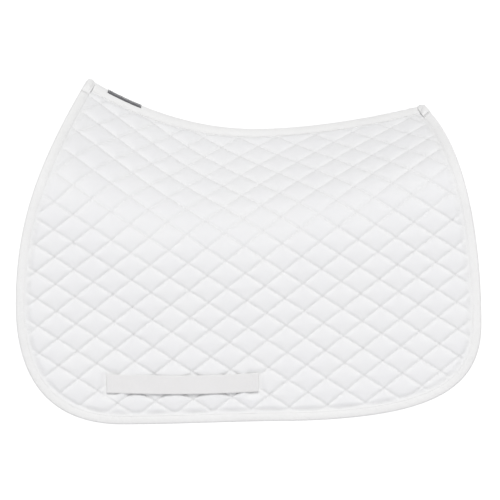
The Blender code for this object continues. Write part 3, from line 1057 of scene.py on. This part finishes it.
@dataclass
class QuiltedCloth:
    """The quilted sandwich of a side: the outer shell and the lining, both puffed between stitches."""

    quilting: DiamondQuilting
    padding: PaddingProfile
    puff: QuiltPuff
    fineness: int = 12
    quick_fineness: int = 6
    trimmed: float = 0.0035
    ridge_gap: float = 0.0040
    ply: float = 0.0009
    typical_swell: float = 0.0024
    flat_top: float = 0.62
    toward_stitches: float = 0.55
    families: tuple[int, int] = (-13, 22)  # the first and last line that can cross the side
    reach: float = 0.40
    lowest: float = -0.47
    faces: Array = field(init=False, repr=False)
    first: Array = field(init=False, repr=False)
    second: Array = field(init=False, repr=False)
    rise: Array = field(init=False, repr=False)
    moved: tuple[Array, Array] = field(init=False, repr=False)

    def __post_init__(self) -> None:
        """Lays the diamonds out and puffs them up."""
        surface = self.padding.surface
        per_diamond = self.fineness
        even = np.arange(per_diamond) / per_diamond
        eased = even + self.toward_stitches * ((1 - np.cos(math.pi * even)) / 2 - even)
        count = np.append((np.arange(*self.families)[:, None] + eased).reshape(-1), float(self.families[1]))
        first, second = np.meshgrid(count, -count[::-1], indexing="ij")
        x, z, on_cloth = self.quilting.on_side(first, second)
        inside, _ = self._inside(x, z, on_cloth, 0.0005)
        kept = (inside > self.trimmed) & (surface.across(x, z) > self.ridge_gap)
        cells = kept[:-1, :-1] & kept[1:, :-1] & kept[1:, 1:] & kept[:-1, 1:]
        number = np.arange(x.size).reshape(x.shape)
        corners = (number[:-1, :-1], number[1:, :-1], number[1:, 1:], number[:-1, 1:])
        faces = np.stack([corner[cells] for corner in corners], -1)
        used, renumbered = np.unique(faces, return_inverse=True)
        self.faces = renumbered.reshape(faces.shape)
        self.first, self.second = first.reshape(-1)[used], second.reshape(-1)[used]
        move = self.puff.swell(self.first, self.second, self.faces[:, ::-1])
        self.rise = (move[:, 2] / self.typical_swell) ** self.flat_top
        self.moved = self._moved(move)

    def _inside(self, x: Array, z: Array, on_cloth: Array, below_seam: float) -> tuple[Array, Array]:
        """How far points lie inside the outline, and which of them are near enough for it to be told."""
        near = on_cloth & (z < self.padding.surface.seam(x) - below_seam)
        near &= (np.abs(x) < self.reach) & (z > self.lowest)
        inside = np.full_like(x, -1.0)
        inside[near] = self.padding.outline.depth_inside(x[near], z[near])
        return inside, near

    def _moved(self, move: Array) -> tuple[Array, Array]:
        """The two counts of each point after its move in the cloth's plane."""
        across, along = move[:, 0] / self.quilting.width, move[:, 1] / self.quilting.height
        return self.first + across + along, self.second + across - along

    def _laid(self, face: Face, lift: float, side: Side) -> tuple[Array, Array]:
        """Points of one face of the sandwich and how swollen they are.

        Args:
            face: Which face.
            lift: How far to lift them off it.
            side: The side of the horse.

        Returns:
            The points, and their swell from 0 to about 1.
        """
        padding, surface = self.padding, self.padding.surface
        x, z, _ = self.quilting.on_side(*self.moved)
        z = np.minimum(z, surface.seam(x) - 0.0004)
        inside = padding.outline.depth_inside(x, z)
        across = surface.across(x, z)
        swell = self.rise * padding.swell_share(x, z, inside, across)
        base = padding.base(face, x, inside, across)
        if face is Face.OUTER:
            height = base + padding.outer_swell * swell
        else:
            height = base - padding.inner_swell * swell
        return surface.lay(x, z, height + lift, side), swell

    def ply_piece(self, name: str, face: Face, finish: ClothFinish, side: Side) -> bpy.types.Object:
        """One closed ply of cloth: its visible face, its back and the edge between them."""
        outwards = 1.0 if face is Face.OUTER else -1.0
        front, swell = self._laid(face, 0.0, side)
        back, _ = self._laid(face, -outwards * self.ply, side)
        count = len(front)
        flip = (face is Face.OUTER) != (side is Side.LEFT)
        facing = self.faces[:, ::-1] if flip else self.faces
        faces = np.concatenate([facing, facing[:, ::-1] + count, self._rim(facing, count)])
        cloth = np.stack(self.quilting.on_cloth(self.first, self.second), -1)
        obj = new_piece(name, np.concatenate([front, back]), faces, finish, np.concatenate([cloth, cloth]))
        # the swell, which the materials use to paint bluish shade on the puffs
        loft = obj.data.attributes.new("loft", "FLOAT", "POINT")
        loft.data.foreach_set("value", np.concatenate([swell, swell]).astype(np.float32))
        return obj

    @staticmethod
    def _rim(facing: Array, count: int) -> Array:
        """The faces that close a ply between the edges of its two faces."""
        edges = np.concatenate([facing[:, [i, (i + 1) % 4]] for i in range(4)])
        key = np.sort(edges, axis=1)
        _, first, times = np.unique(key[:, 0] * count + key[:, 1], return_index=True, return_counts=True)
        open_edges = edges[first[times == 1]]
        start, end = open_edges[:, 0], open_edges[:, 1]
        return np.stack([end, start, start + count, end + count], -1)

    def stitch_rows(self, face: Face, side: Side) -> list[tuple[Array, Array]]:
        """The quilting's stitch lines on one face, cut where tapes or the loop's ends cover them."""
        padding, surface = self.padding, self.padding.surface
        rows = []
        run = np.arange(-22.0, 22.01, 1 / 6)
        for family in range(2):
            for line in range(-22, 23):
                fixed = np.full_like(run, float(line))
                counts = (fixed, run) if family == 0 else (run, fixed)
                x, z, on_cloth = self.quilting.on_side(*counts)
                inside, near = self._inside(x, z, on_cloth, 0.004)
                if near.sum() < 3:
                    continue
                across = surface.across(x, z)
                shown = (inside > padding.edge_row) & (across > padding.tape_half_width(x) + 0.001)
                shown &= padding.loop.pressing(x, z) < 0.6
                rows += self._shown_runs(face, side, x, z, inside, across, shown)
        return rows

    def _shown_runs(
        self, face: Face, side: Side, x: Array, z: Array, inside: Array, across: Array, shown: Array
    ) -> list[tuple[Array, Array]]:
        """Cuts one stitch line into the runs that show."""
        edges = np.flatnonzero(np.diff(np.concatenate([[0], shown.astype(int), [0]])))
        runs = []
        for start, stop in zip(edges[::2], edges[1::2]):
            if stop - start < 2:
                continue
            part = slice(start, stop)
            lift = 0.0002 if face is Face.OUTER else -0.0002
            height = self.padding.base(face, x[part], inside[part], across[part]) + lift
            points = self.padding.surface.lay(x[part], z[part], height, side)
            facing = self.padding.surface.facing(x[part], z[part], side)
            runs.append((points, facing if face is Face.OUTER else -facing))
        return runs

    def edge_row(self, face: Face, side: Side) -> list[tuple[Array, Array]]:
        """The stitch row that runs all round beside the binding."""
        padding, surface, outline = self.padding, self.padding.surface, self.padding.outline
        distance = np.arange(0.035, outline.lengths[-1] - 0.035, 0.004)
        place = outline.at(distance) + padding.edge_row * outline.inwards(distance)
        x, z = place[:, 0], place[:, 1]
        inside, across = outline.depth_inside(x, z), surface.across(x, z)
        shown = across > padding.tape_half_width(x) + 0.002
        return self._shown_runs(face, side, x, z, inside, across, shown)


# ---- the tapes ----


@dataclass
class EdgeBinding:
    """The cotton tape folded round the edge: a stretch for each side and one over each end of the spine."""

    padding: PaddingProfile
    width: float = 0.0148
    tape: float = 0.0008
    outer_top: float = 0.0074
    inner_top: float = 0.0010
    stitch_inset: float = 0.0020  # of the topstitching from the binding's inner edge
    stitch_dip: float = 0.00035
    crown: float = 0.0005
    pucker: float = 0.00040
    step: float = 0.0024
    fold_across: float = 0.016
    turn_across: float = 0.030
    gather: float = 0.0009
    ridge_lift: float = 0.0042

    def _section(self) -> Array:
        """The outer skin's (share of the width, height) from the outer leg round to the inner leg."""
        outer, inner = self.outer_top, self.inner_top
        stitched = 1.0 - self.stitch_inset / self.width
        leg = [
            (1.0, outer - 0.0002),
            (stitched + 0.05, outer),
            (stitched, outer - self.stitch_dip),
            (stitched - 0.06, outer + 0.1 * self.crown),
            (0.62, outer + 0.9 * self.crown),
            (0.45, outer + self.crown),
            (0.30, outer + 0.7 * self.crown),
        ]
        radius = (outer - inner) / 2
        middle = (outer + inner) / 2
        turn = [
            (0.20 * (1 - math.sin(math.pi * step / 8)), middle + radius * math.cos(math.pi * step / 8))
            for step in range(9)
        ]
        under = [(share, inner + outer - height) for share, height in leg[::-1]]
        return np.array(leg + turn + under)

    def _rings(self, distance: Array, side: Side) -> tuple[Array, Array]:
        """Closed rings round the binding at these distances along the outline."""
        surface, outline = self.padding.surface, self.padding.outline
        edge, inwards = outline.at(distance), outline.inwards(distance)
        across = np.maximum(surface.across(edge[:, 0], edge[:, 1]), 0.0)
        on_ridge = 1.0 - smooth(across / self.turn_across)
        half_tape = self.padding.tape_half_width(edge[:, 0])
        over_tape = 1.0 - smooth((across / half_tape - 0.9) / 0.6)
        rear = on_ridge * (edge[:, 0] < 0)
        middle = np.where(edge[:, 0] > 0, -1.0, 1.0)
        step = 1e-4
        rise = (surface.seam(edge[:, 0] + step) - surface.seam(edge[:, 0] - step)) / (2 * step)
        along_ridge = np.stack([middle, middle * rise], -1) / np.hypot(1.0, rise)[:, None]
        leading = inwards * (1 - on_ridge)[:, None] + along_ridge * on_ridge[:, None]
        leading /= np.linalg.norm(leading, axis=1, keepdims=True)
        section = self._section()
        skins = []
        for skin in (0.0, 1.0):
            share = section[:, 0] + skin * self.tape / self.width * np.clip(1 - section[:, 0] / 0.2, 0, 1)
            inset = share[None] * self.width
            centre = (self.outer_top + self.inner_top) / 2
            height = section[:, 1] - skin * self.tape * np.sign(section[:, 1] - centre) * (share > 0.02)
            place = edge[:, None] + inset[..., None] * leading[:, None]
            x, z = place[..., 0], place[..., 1]
            seam = surface.seam(x)
            z = np.where(on_ridge[:, None] > 0.999, seam, np.minimum(z, seam))
            out = self._lift(distance, over_tape, rear, section, height)
            skins.append(surface.lay(x, z, out, side))
        ring = np.concatenate([skins[0], skins[1][:, ::-1]], axis=1)
        girth = np.concatenate([[0.0], np.cumsum(np.hypot(*np.diff(section * [self.width, 1.0], axis=0).T))])
        round_uv = np.concatenate([girth, girth[::-1]])
        uv = np.stack(np.broadcast_arrays(distance[:, None], round_uv[None]), -1)
        return ring, uv

    def _lift(self, distance: Array, over_tape: Array, rear: Array, section: Array, height: Array) -> Array:
        """The section's heights along the binding, with its puckers and the gathers at the cantle."""
        centre = (self.outer_top + self.inner_top) / 2
        away = (height - centre)[None]
        thicker = 1.0 + over_tape[:, None] * self.ridge_lift / (self.outer_top - centre)
        legs = np.clip(np.abs(section[:, 1] - centre) / (self.outer_top - centre), 0, 1)[None] ** 3
        slanted = distance[:, None] + 0.6 * self.width * section[:, 0][None]
        pucker = self.pucker * wavy(slanted, 11, (0.0071, 0.0103, 0.0164, 0.031))
        gathered = np.sin(2 * math.pi * slanted / 0.0068) * np.clip(section[:, 0] * 1.6, 0, 1)
        gathers = self.gather * rear[:, None] * gathered
        return centre + away * thicker + np.sign(away) * legs * (pucker + gathers)

    def _crossing(self, from_front: bool) -> float:
        """How far along the outline it comes out from the fold over the spine."""
        surface, outline = self.padding.surface, self.padding.outline
        across = surface.across(outline.points[:, 0], outline.points[:, 1])
        outside = np.flatnonzero(across >= self.fold_across)
        index = outside[0] if from_front else outside[-1]
        return float(outline.lengths[index])

    def side_piece(self, side: Side) -> bpy.types.Object:
        """The binding of one side."""
        start, stop = self._crossing(True), self._crossing(False)
        distance = np.linspace(start, stop, round((stop - start) / self.step))
        rings, uv = self._rings(distance, side)
        return swept(f"edge_tape_{side.label}", rings, BINDING_TWILL, uv, flip=side is Side.RIGHT)

    def fold_piece(self, from_front: bool) -> bpy.types.Object:
        """The binding over one end of the spine, from one side to the other."""
        outline = self.padding.outline
        if from_front:
            distance = np.linspace(0.0, self._crossing(True), 14)
        else:
            distance = np.linspace(outline.lengths[-1], self._crossing(False), 14)
        left, uv = self._rings(distance, Side.LEFT)
        right, _ = self._rings(distance, Side.RIGHT)
        rings = np.concatenate([left[::-1], right[1:]])
        around = np.concatenate([uv[::-1], 2 * uv[:1] - uv[1:]])
        around[..., 1] = np.concatenate([uv[::-1], uv[1:]])[..., 1]
        name = "edge_tape_withers" if from_front else "edge_tape_cantle"
        return swept(name, rings, BINDING_TWILL, around, flip=from_front)

    def stitch_rows(self, face: Face, side: Side) -> list[tuple[Array, Array]]:
        """The topstitching that holds one leg of the binding down."""
        surface, outline = self.padding.surface, self.padding.outline
        start, stop = self._crossing(True) + 0.004, self._crossing(False) - 0.004
        distance = np.arange(start, stop, 0.004)
        across = np.maximum(surface.across(*outline.at(distance).T), 0.0)
        distance = distance[across > self.turn_across * 0.6]
        place = outline.at(distance) + (self.width - self.stitch_inset) * outline.inwards(distance)
        level = self.outer_top - self.stitch_dip if face is Face.OUTER else self.inner_top + self.stitch_dip
        lift = 0.0001 if face is Face.OUTER else -0.0001
        x, z = place[:, 0], place[:, 1]
        points = surface.lay(x, z, np.full_like(x, level + lift), side)
        facing = surface.facing(x, z, side)
        return [(points, facing if face is Face.OUTER else -facing)]


@dataclass
class SpineTape:
    """The cotton tape along the spine, on the outside and on the lining."""

    padding: PaddingProfile
    tape: float = 0.0009
    clearance: float = 0.0003
    stitch_inset: float = 0.0022
    stitch_dip: float = 0.0003
    end_gap: float = 0.004
    columns: int = 180
    rows: int = 28
    gather: float = 0.0008

    def height(self, face: Face, x: Array, across: Array) -> Array:
        """Height of the tape's own visible face."""
        padding = self.padding
        inside = np.full_like(x, 0.05)
        base = padding.base(face, x, inside, np.abs(across))
        half = padding.tape_half_width(x)
        stitched = np.exp(-(((half - self.stitch_inset - np.abs(across)) / 0.0010) ** 2))
        ripple = 0.00018 * wavy(x + 0.3 * np.abs(across), 5, (0.009, 0.014, 0.033))
        near_cantle = smooth((-x - 0.205) / 0.05)
        gathers = self.gather * near_cantle * np.sin(2 * math.pi * (np.abs(across) * 0.8 + x * 0.35) / 0.0052)
        lift = self.clearance + self.tape - self.stitch_dip * stitched + ripple + gathers * 0.5
        return base + lift if face is Face.OUTER else base - lift

    def piece(self, name: str, face: Face) -> bpy.types.Object:
        """The tape on one face, as a closed strip."""
        padding = self.padding
        end = padding.surface.half_spine - self.end_gap
        x = np.linspace(-end, end, self.columns)[:, None]
        share = np.linspace(-1.0, 1.0, self.rows)[None]
        across = share * padding.tape_half_width(x)
        x, across = np.broadcast_arrays(x, across)
        seen = self.height(face, x, across)
        hidden = seen - self.tape if face is Face.OUTER else seen + self.tape
        surface = padding.surface
        return strip(name, surface, x, across, (seen, hidden), BINDING_TWILL, flip=face is Face.OUTER)

    def stitch_rows(self, face: Face) -> list[tuple[Array, Array]]:
        """The two rows that hold the tape down."""
        padding, rows = self.padding, []
        end = padding.surface.half_spine - 0.016
        x = np.arange(-end, end, 0.004)
        for sign in (-1.0, 1.0):
            across = sign * (padding.tape_half_width(x) - self.stitch_inset)
            height = self.height(face, x, across)
            points, facing = padding.surface.row_over_ridge(x, across, height)
            rows.append((points, facing if face is Face.OUTER else -facing))
        return rows


@dataclass
class WovenLabel:
    """The blank woven label on the spine tape, behind the withers."""

    tape: SpineTape
    half_width: float = 0.0055
    thickness: float = 0.0006
    hem: float = 0.0018
    hem_height: float = 0.0002
    hem_fade: float = 0.0008
    gap: float = 0.0002  # between it and the tape under it
    stitch_inset: float = 0.0012
    front: float = field(init=False)
    length: float = field(init=False)

    def __post_init__(self) -> None:
        """Takes its place and size from the frame."""
        low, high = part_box("woven_label")
        self.front, self.length = high[0], high[0] - low[0]

    def piece(self) -> bpy.types.Object:
        """The label, with a raised hem all round."""
        x = np.linspace(self.front - self.length, self.front, 44)[:, None]
        share = np.linspace(-1.0, 1.0, 24)[None]
        across = share * self.half_width + 0 * x
        x, across = np.broadcast_arrays(x, across)
        from_end = np.minimum(x - (self.front - self.length), self.front - x)
        from_side = self.half_width - np.abs(across)
        hemmed = 1.0 - smooth((np.minimum(from_end, from_side) - self.hem) / self.hem_fade)
        curl = 0.0006 * smooth((from_end - 0.004) / -0.004) * (np.abs(across) / self.half_width) ** 2
        base = self.tape.height(Face.OUTER, x, across) + self.gap
        surface = self.tape.padding.surface
        heights = (base + self.thickness + self.hem_height * hemmed + curl, base + curl)
        return strip("blank_label", surface, x, across, heights, LABEL_SATIN, flip=True)

    def stitch_rows(self) -> list[tuple[Array, Array]]:
        """The stitches along the label's two ends."""
        rows = []
        surface = self.tape.padding.surface
        across = np.linspace(-1, 1, 15) * (self.half_width - self.stitch_inset)
        for end in (self.front - self.stitch_inset, self.front - self.length + self.stitch_inset):
            x = np.full_like(across, end)
            height = self.tape.height(Face.OUTER, x, across) + self.gap + self.thickness + 0.0003
            rows.append(surface.row_over_ridge(x, across, height))
        return rows


# ---- the girth loop ----


@dataclass
class GirthLoop:
    """The webbing strap low on the skirt, folded under and sewn down at both ends."""

    surface: PadSurface
    webbing: float = 0.0013
    tab: float = 0.014
    ramp: float = 0.030
    standoff: float = 0.0115
    tab_height: float = 0.0066
    sag: float = 0.0012
    rear_lift: float = 0.0037
    front_lift: float = 0.0016
    round_edge: int = 3
    columns: int = 16
    tack_margin: float = 0.0025  # from the strap's long edges to its tacking
    front_tacks: tuple[float, float] = (0.0030, 0.0085)  # both rows, from the strap's front end
    rear_tacks: tuple[float, float] = (0.0025, 0.0115)  # the box's two ends, from its rear end
    rear: float = field(init=False)
    length: float = field(init=False)
    width: float = field(init=False)
    depth: float = field(init=False)

    def __post_init__(self) -> None:
        """Takes its place and size from the frame."""
        low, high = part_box("girth_loop_left")
        self.rear, self.length = low[0], high[0] - low[0]
        self.width, self.depth = high[2] - low[2], -(low[2] + high[2]) / 2

    def pressing(self, x: Array, z: Array) -> Array:
        """How hard the sewn ends press the quilting down at a place, from 0 to 1."""
        pressed = np.zeros_like(x)
        front = self.rear + self.length
        for start, end in ((self.rear, self.rear + self.tab), (front - self.tab, front)):
            beyond_x = np.maximum(np.maximum(start - x, x - end), 0.0)
            beyond_z = np.maximum(np.abs(z + self.depth) - self.width / 2, 0.0)
            pressed = np.maximum(pressed, 1.0 - smooth((np.hypot(beyond_x, beyond_z) - 0.001) / 0.009))
        return pressed

    def _path(self) -> Array:
        """The strap's middle line as (x, height above the side's inner face), folds included."""
        thick = self.webbing
        low = self.tab_height + thick / 2
        high = low + thick + 0.0002
        front = self.rear + self.length
        turn = np.linspace(0, math.pi, 7)[1:-1]
        radius = (high - low) / 2
        middle = (low + high) / 2
        rear_end = self.rear + radius
        rear_fold = [(rear_end - radius * math.sin(a), middle - radius * math.cos(a)) for a in turn]
        path = [(self.rear + self.tab - 0.002, low), (self.rear + self.tab / 2, low), (rear_end, low)]
        path += rear_fold + [(rear_end, high), (self.rear + self.tab / 2, high)]
        for x in np.linspace(self.rear + self.tab, front - self.tab, 56):
            from_end = min(x - self.rear - self.tab, front - self.tab - x)
            up = float(smooth(np.float64(from_end / self.ramp)))
            ripple = 0.0003 * math.sin(x * 95.0) * up
            path.append((x, high + (self.standoff + thick / 2 - high) * up + ripple))
        front_end = front - radius
        path += [(front - self.tab / 2, high), (front_end, high)]
        path += [(front_end + radius * math.sin(a), middle + radius * math.cos(a)) for a in turn]
        path += [(front_end, low), (front - self.tab / 2, low), (front - self.tab + 0.002, low)]
        return np.array(path)

    def _middle_height(self, x: Array) -> Array:
        """Z of the strap's middle line: it sags between its ends, and its rear end sits a little high."""
        share = np.clip((x - self.rear) / self.length, 0.0, 1.0)
        ends = self.rear_lift * (1 - share) ** 3 + self.front_lift * share**3
        return -self.depth - self.sag * np.sin(math.pi * share) + ends

    def piece(self, side: Side) -> bpy.types.Object:
        """The strap."""
        path = self._path()
        along = np.gradient(path, axis=0)
        along /= np.linalg.norm(along, axis=1, keepdims=True)
        normal = np.stack([-along[:, 1], along[:, 0]], -1)
        half, thick = self.width / 2, self.webbing / 2
        flat = np.linspace(-half + thick, half - thick, self.columns)
        ridged = 0.00008 * (np.abs(flat) > half - 0.0045)
        angles = np.linspace(math.pi / 2, -math.pi / 2, self.round_edge + 2)[1:-1]
        top = list(zip(flat, thick + ridged))
        right = [(half - thick + thick * math.cos(a), thick * math.sin(a)) for a in angles]
        under = list(zip(flat[::-1], -thick - ridged))
        left = [(-half + thick - thick * math.cos(a), -thick * math.sin(a)) for a in angles]
        section = np.array(top + right + under + left)
        place = path[:, None] + section[None, :, 1:] * normal[:, None]
        x, height = place[..., 0], place[..., 1]
        z = self._middle_height(x) + section[None, :, 0]
        base = float(self.surface.half_width)
        rings = np.stack([x, side.value * (base + height), z], -1)
        run = np.concatenate([[0.0], np.cumsum(np.linalg.norm(np.diff(path, axis=0), axis=1))])
        around = np.concatenate([flat, np.full(len(angles), half), flat[::-1], np.full(len(angles), -half)])
        uv = np.stack(np.broadcast_arrays(run[:, None], around[None]), -1)
        return swept(f"loop_webbing_{side.label}", rings, LOOP_WEBBING, uv, flip=side is Side.RIGHT)

    def tack_rows(self, end_name: str, side: Side) -> list[tuple[Array, Array]]:
        """The stitches that hold one end: two upright rows in front, a box at the rear."""
        top = self.surface.half_width + self.tab_height + 2 * self.webbing + 0.0003
        half = self.width / 2 - self.tack_margin
        front = self.rear + self.length
        if end_name == "front":
            lines = [((x, -half), (x, half)) for x in (front - back for back in self.front_tacks)]
        else:
            near, far = (self.rear + ahead for ahead in self.rear_tacks)
            corners = [(near, -half), (near, half), (far, half), (far, -half), (near, -half)]
            lines = list(zip(corners, corners[1:]))
            lines += [((near, -half), (far, half)), ((near, half), (far, -half))]
        rows = []
        for start, stop in lines:
            share = np.linspace(0.0, 1.0, 12)
            x = start[0] + (stop[0] - start[0]) * share
            z = self._middle_height(x) + start[1] + (stop[1] - start[1]) * share
            points = np.stack([x, np.full_like(x, side.value * top), z], -1)
            rows.append((points, np.tile([0.0, float(side.value), 0.0], (len(x), 1))))
        return rows


# ---- putting the pad together ----


@dataclass
class Pad:
    """The whole pad: builds each piece, and hangs the girth loops and the spine's pieces on the frame's
    bodies.
    """

    surface: PadSurface
    bend_start: float = 0.026
    bend_end: float = 0.105
    outline: SideOutline = field(init=False, repr=False)
    loop: GirthLoop = field(init=False, repr=False)
    padding: PaddingProfile = field(init=False, repr=False)
    quilting: DiamondQuilting = field(init=False, repr=False)
    cloth: QuiltedCloth = field(init=False, repr=False)
    binding: EdgeBinding = field(init=False, repr=False)
    tape: SpineTape = field(init=False, repr=False)
    label: WovenLabel = field(init=False, repr=False)
    sewing: StitchRows = field(init=False, repr=False)

    def __post_init__(self) -> None:
        """Works out the shapes that the pieces share."""
        self.outline = SideOutline(self.surface)
        self.loop = GirthLoop(self.surface)
        self.padding = PaddingProfile(self.surface, self.outline, self.loop)
        self.quilting = DiamondQuilting(DrapedCloth(self.surface, self.outline))
        self.cloth = QuiltedCloth(self.quilting, self.padding, QuiltPuff(self.quilting))
        self.binding = EdgeBinding(self.padding)
        self.tape = SpineTape(self.padding)
        self.label = WovenLabel(self.tape)
        self.sewing = StitchRows()

    def build(self) -> None:
        """Makes every piece."""
        for side in Side:
            self._build_side(side)
        self._build_spine()

    def _bend(self, obj: bpy.types.Object) -> None:
        """Bakes a piece's transform into its mesh."""
        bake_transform(obj)

    @staticmethod
    def _enter(obj: bpy.types.Object, slot: str, *nodes: str) -> bpy.types.Object:
        """Hides the frame's nodes that a piece stands for, and logs how many faces it has."""
        if nodes:
            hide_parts(*nodes)
        log.info("%s: %d faces", obj.name, len(obj.data.polygons))
        return obj

    def _build_side(self, side: Side) -> None:
        """The pieces of one flap."""
        label = side.label
        shell = self.cloth.ply_piece(f"shell_cotton_{label}", Face.OUTER, SHELL_COTTON, side)
        self._enter(shell, "cotton", f"quilted_shell_{label}", f"foam_core_{label}")
        self._bend(shell)
        lining = self.cloth.ply_piece(f"lining_cotton_{label}", Face.INNER, LINING_COTTON, side)
        self._enter(lining, "cotton", f"lining_{label}")
        self._bend(lining)
        binding = self.binding.side_piece(side)
        self._enter(binding, "binding", f"edge_binding_{label}")
        self._bend(binding)
        for face in Face:
            rows = self.cloth.stitch_rows(face, side) + self.cloth.edge_row(face, side)
            stitches = self.sewing.sew(f"quilting_stitches_{face.value}_{label}", rows, SEWING_THREAD)
            self._enter(stitches, "thread")
            self._bend(stitches)
            rows = self.binding.stitch_rows(face, side)
            stitches = self.sewing.sew(f"binding_stitches_{face.value}_{label}", rows, SEWING_THREAD)
            self._enter(stitches, "thread")
            self._bend(stitches)
        strap = self._enter(self.loop.piece(side), "webbing", f"girth_loop_{label}")
        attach(strap, side.body)
        tacking = StitchRows(pitch=0.0024, length=0.0020, thread=0.0004)
        for end_name in ("front", "rear"):
            node = f"girth_loop_tack_{end_name}_{label}"
            rows = self.loop.tack_rows(end_name, side)
            tack = tacking.sew(f"loop_stitches_{end_name}_{label}", rows, SEWING_THREAD)
            self._enter(tack, "thread", node)
            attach(tack, side.body)

    def _build_spine(self) -> None:
        """The pieces along the spine."""
        cover = self.tape.piece("spine_cover", Face.OUTER)
        outer = self._enter(cover, "binding", "spine_tape", "spine_foam_strip")
        inner = self._enter(self.tape.piece("spine_cover_inner", Face.INNER), "binding", "spine_lining_tape")
        label = self._enter(self.label.piece(), "label", "woven_label")
        front = self._enter(self.binding.fold_piece(True), "binding", "binding_fold_front")
        rear = self._enter(self.binding.fold_piece(False), "binding", "binding_fold_rear")
        rows = self.tape.stitch_rows(Face.OUTER) + self.tape.stitch_rows(Face.INNER)
        stitches = self._enter(self.sewing.sew("spine_stitches", rows, SEWING_THREAD), "thread")
        sewn = StitchRows(pitch=0.0022, length=0.0017, thread=0.0003)
        tacks = self._enter(sewn.sew("label_stitches", self.label.stitch_rows(), SEWING_THREAD), "thread")
        for obj in (outer, inner, label, front, rear, stitches, tacks):
            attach(obj, "spine")


# ---- the studio ----


@dataclass
class Studio:
    """A plain pale floor, soft light and the camera."""

    distance: float = 30.0
    field: float = 0.8
    sensor: float = 36.0
    middle: tuple[float, float, float] = (0.0096, 0.18, -0.1838)
    floor_drop: float = 0.80
    floor_half: float = 12.0
    ambient: float = 0.335
    key: float = 1.86
    fill: float = 1.1
    key_from: tuple[float, float, float] = (0.0, 0.76, 0.64)
    fill_from: tuple[float, float, float] = (-0.20, -0.86, 0.50)
    ambient_tint: tuple[float, float, float] = (0.985, 0.985, 1.0)
    floor_tint: tuple[float, float, float] = (0.86, 0.86, 0.87)

    def build(self) -> None:
        """Sets the studio up."""
        self._camera()
        self._world()
        self._sun("key_light", self.key, self.key_from, 30.0)
        self._sun("fill_light", self.fill, self.fill_from, 40.0)
        self._floor()
        view = bpy.context.scene.view_settings
        view.view_transform = "Standard"
        view.look = "None"

    def _camera(self) -> None:
        """The camera, level and square to the pad's left side."""
        data = bpy.data.cameras.new("camera")
        data.sensor_width = self.sensor
        data.lens = self.sensor * self.distance / self.field
        data.clip_end = 2 * self.distance
        data.dof.use_dof = False
        camera = bpy.data.objects.new("camera", data)
        x, y, z = self.middle
        camera.location = (x, y + self.distance, z)
        camera.rotation_euler = (math.pi / 2, 0.0, math.pi)
        bpy.context.scene.collection.objects.link(camera)
        bpy.context.scene.camera = camera

    def _world(self) -> None:
        """A white surround that shows as white and lights more softly than it shows."""
        world = bpy.data.worlds.new("studio")
        world.use_nodes = True
        tree = world.node_tree
        tree.nodes.clear()
        seen = tree.nodes.new("ShaderNodeBackground")
        seen.inputs["Strength"].default_value = 1.1
        seen.inputs["Color"].default_value = (1.0, 1.0, 1.0, 1.0)
        lit = tree.nodes.new("ShaderNodeBackground")
        lit.inputs["Color"].default_value = (*self.ambient_tint, 1.0)
        lit.inputs["Strength"].default_value = self.ambient
        path = tree.nodes.new("ShaderNodeLightPath")
        mix = tree.nodes.new("ShaderNodeMixShader")
        output = tree.nodes.new("ShaderNodeOutputWorld")
        tree.links.new(path.outputs["Is Camera Ray"], mix.inputs[0])
        tree.links.new(lit.outputs[0], mix.inputs[1])
        tree.links.new(seen.outputs[0], mix.inputs[2])
        tree.links.new(mix.outputs[0], output.inputs["Surface"])
        bpy.context.scene.world = world

    @staticmethod
    def _sun(name: str, strength: float, source: tuple[float, float, float], spread: float) -> None:
        """A soft light from far away.

        Args:
            name: Its name.
            strength: Its strength.
            source: The way towards it.
            spread: How wide it looks, in degrees.
        """
        data = bpy.data.lights.new(name, "SUN")
        data.energy = strength
        data.angle = math.radians(spread)
        light = bpy.data.objects.new(name, data)
        light.rotation_euler = Vector(source).to_track_quat("Z", "Y").to_euler()
        bpy.context.scene.collection.objects.link(light)

    def _floor(self) -> None:
        """The floor, well below the pad."""
        half, level = self.floor_half, -self.floor_drop
        corners = [(-half, -half, level), (half, -half, level), (half, half, level), (-half, half, level)]
        mesh = bpy.data.meshes.new("floor")
        mesh.from_pydata(corners, [], [(0, 1, 2, 3)])
        material = bpy.data.materials.new("pale_floor")
        material.use_nodes = True
        shader = material.node_tree.nodes["Principled BSDF"]
        shader.inputs["Base Color"].default_value = (*self.floor_tint, 1.0)
        shader.inputs["Roughness"].default_value = 0.9
        mesh.materials.append(material)
        floor = bpy.data.objects.new("floor", mesh)
        bpy.context.scene.collection.objects.link(floor)


def main() -> None:
    """Builds the studio and the pad."""
    logging.basicConfig(level=logging.INFO, format="%(name)s: %(message)s")
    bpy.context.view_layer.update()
    Studio().build()
    Pad(PadSurface()).build()


if __name__ == "__main__":
    main()
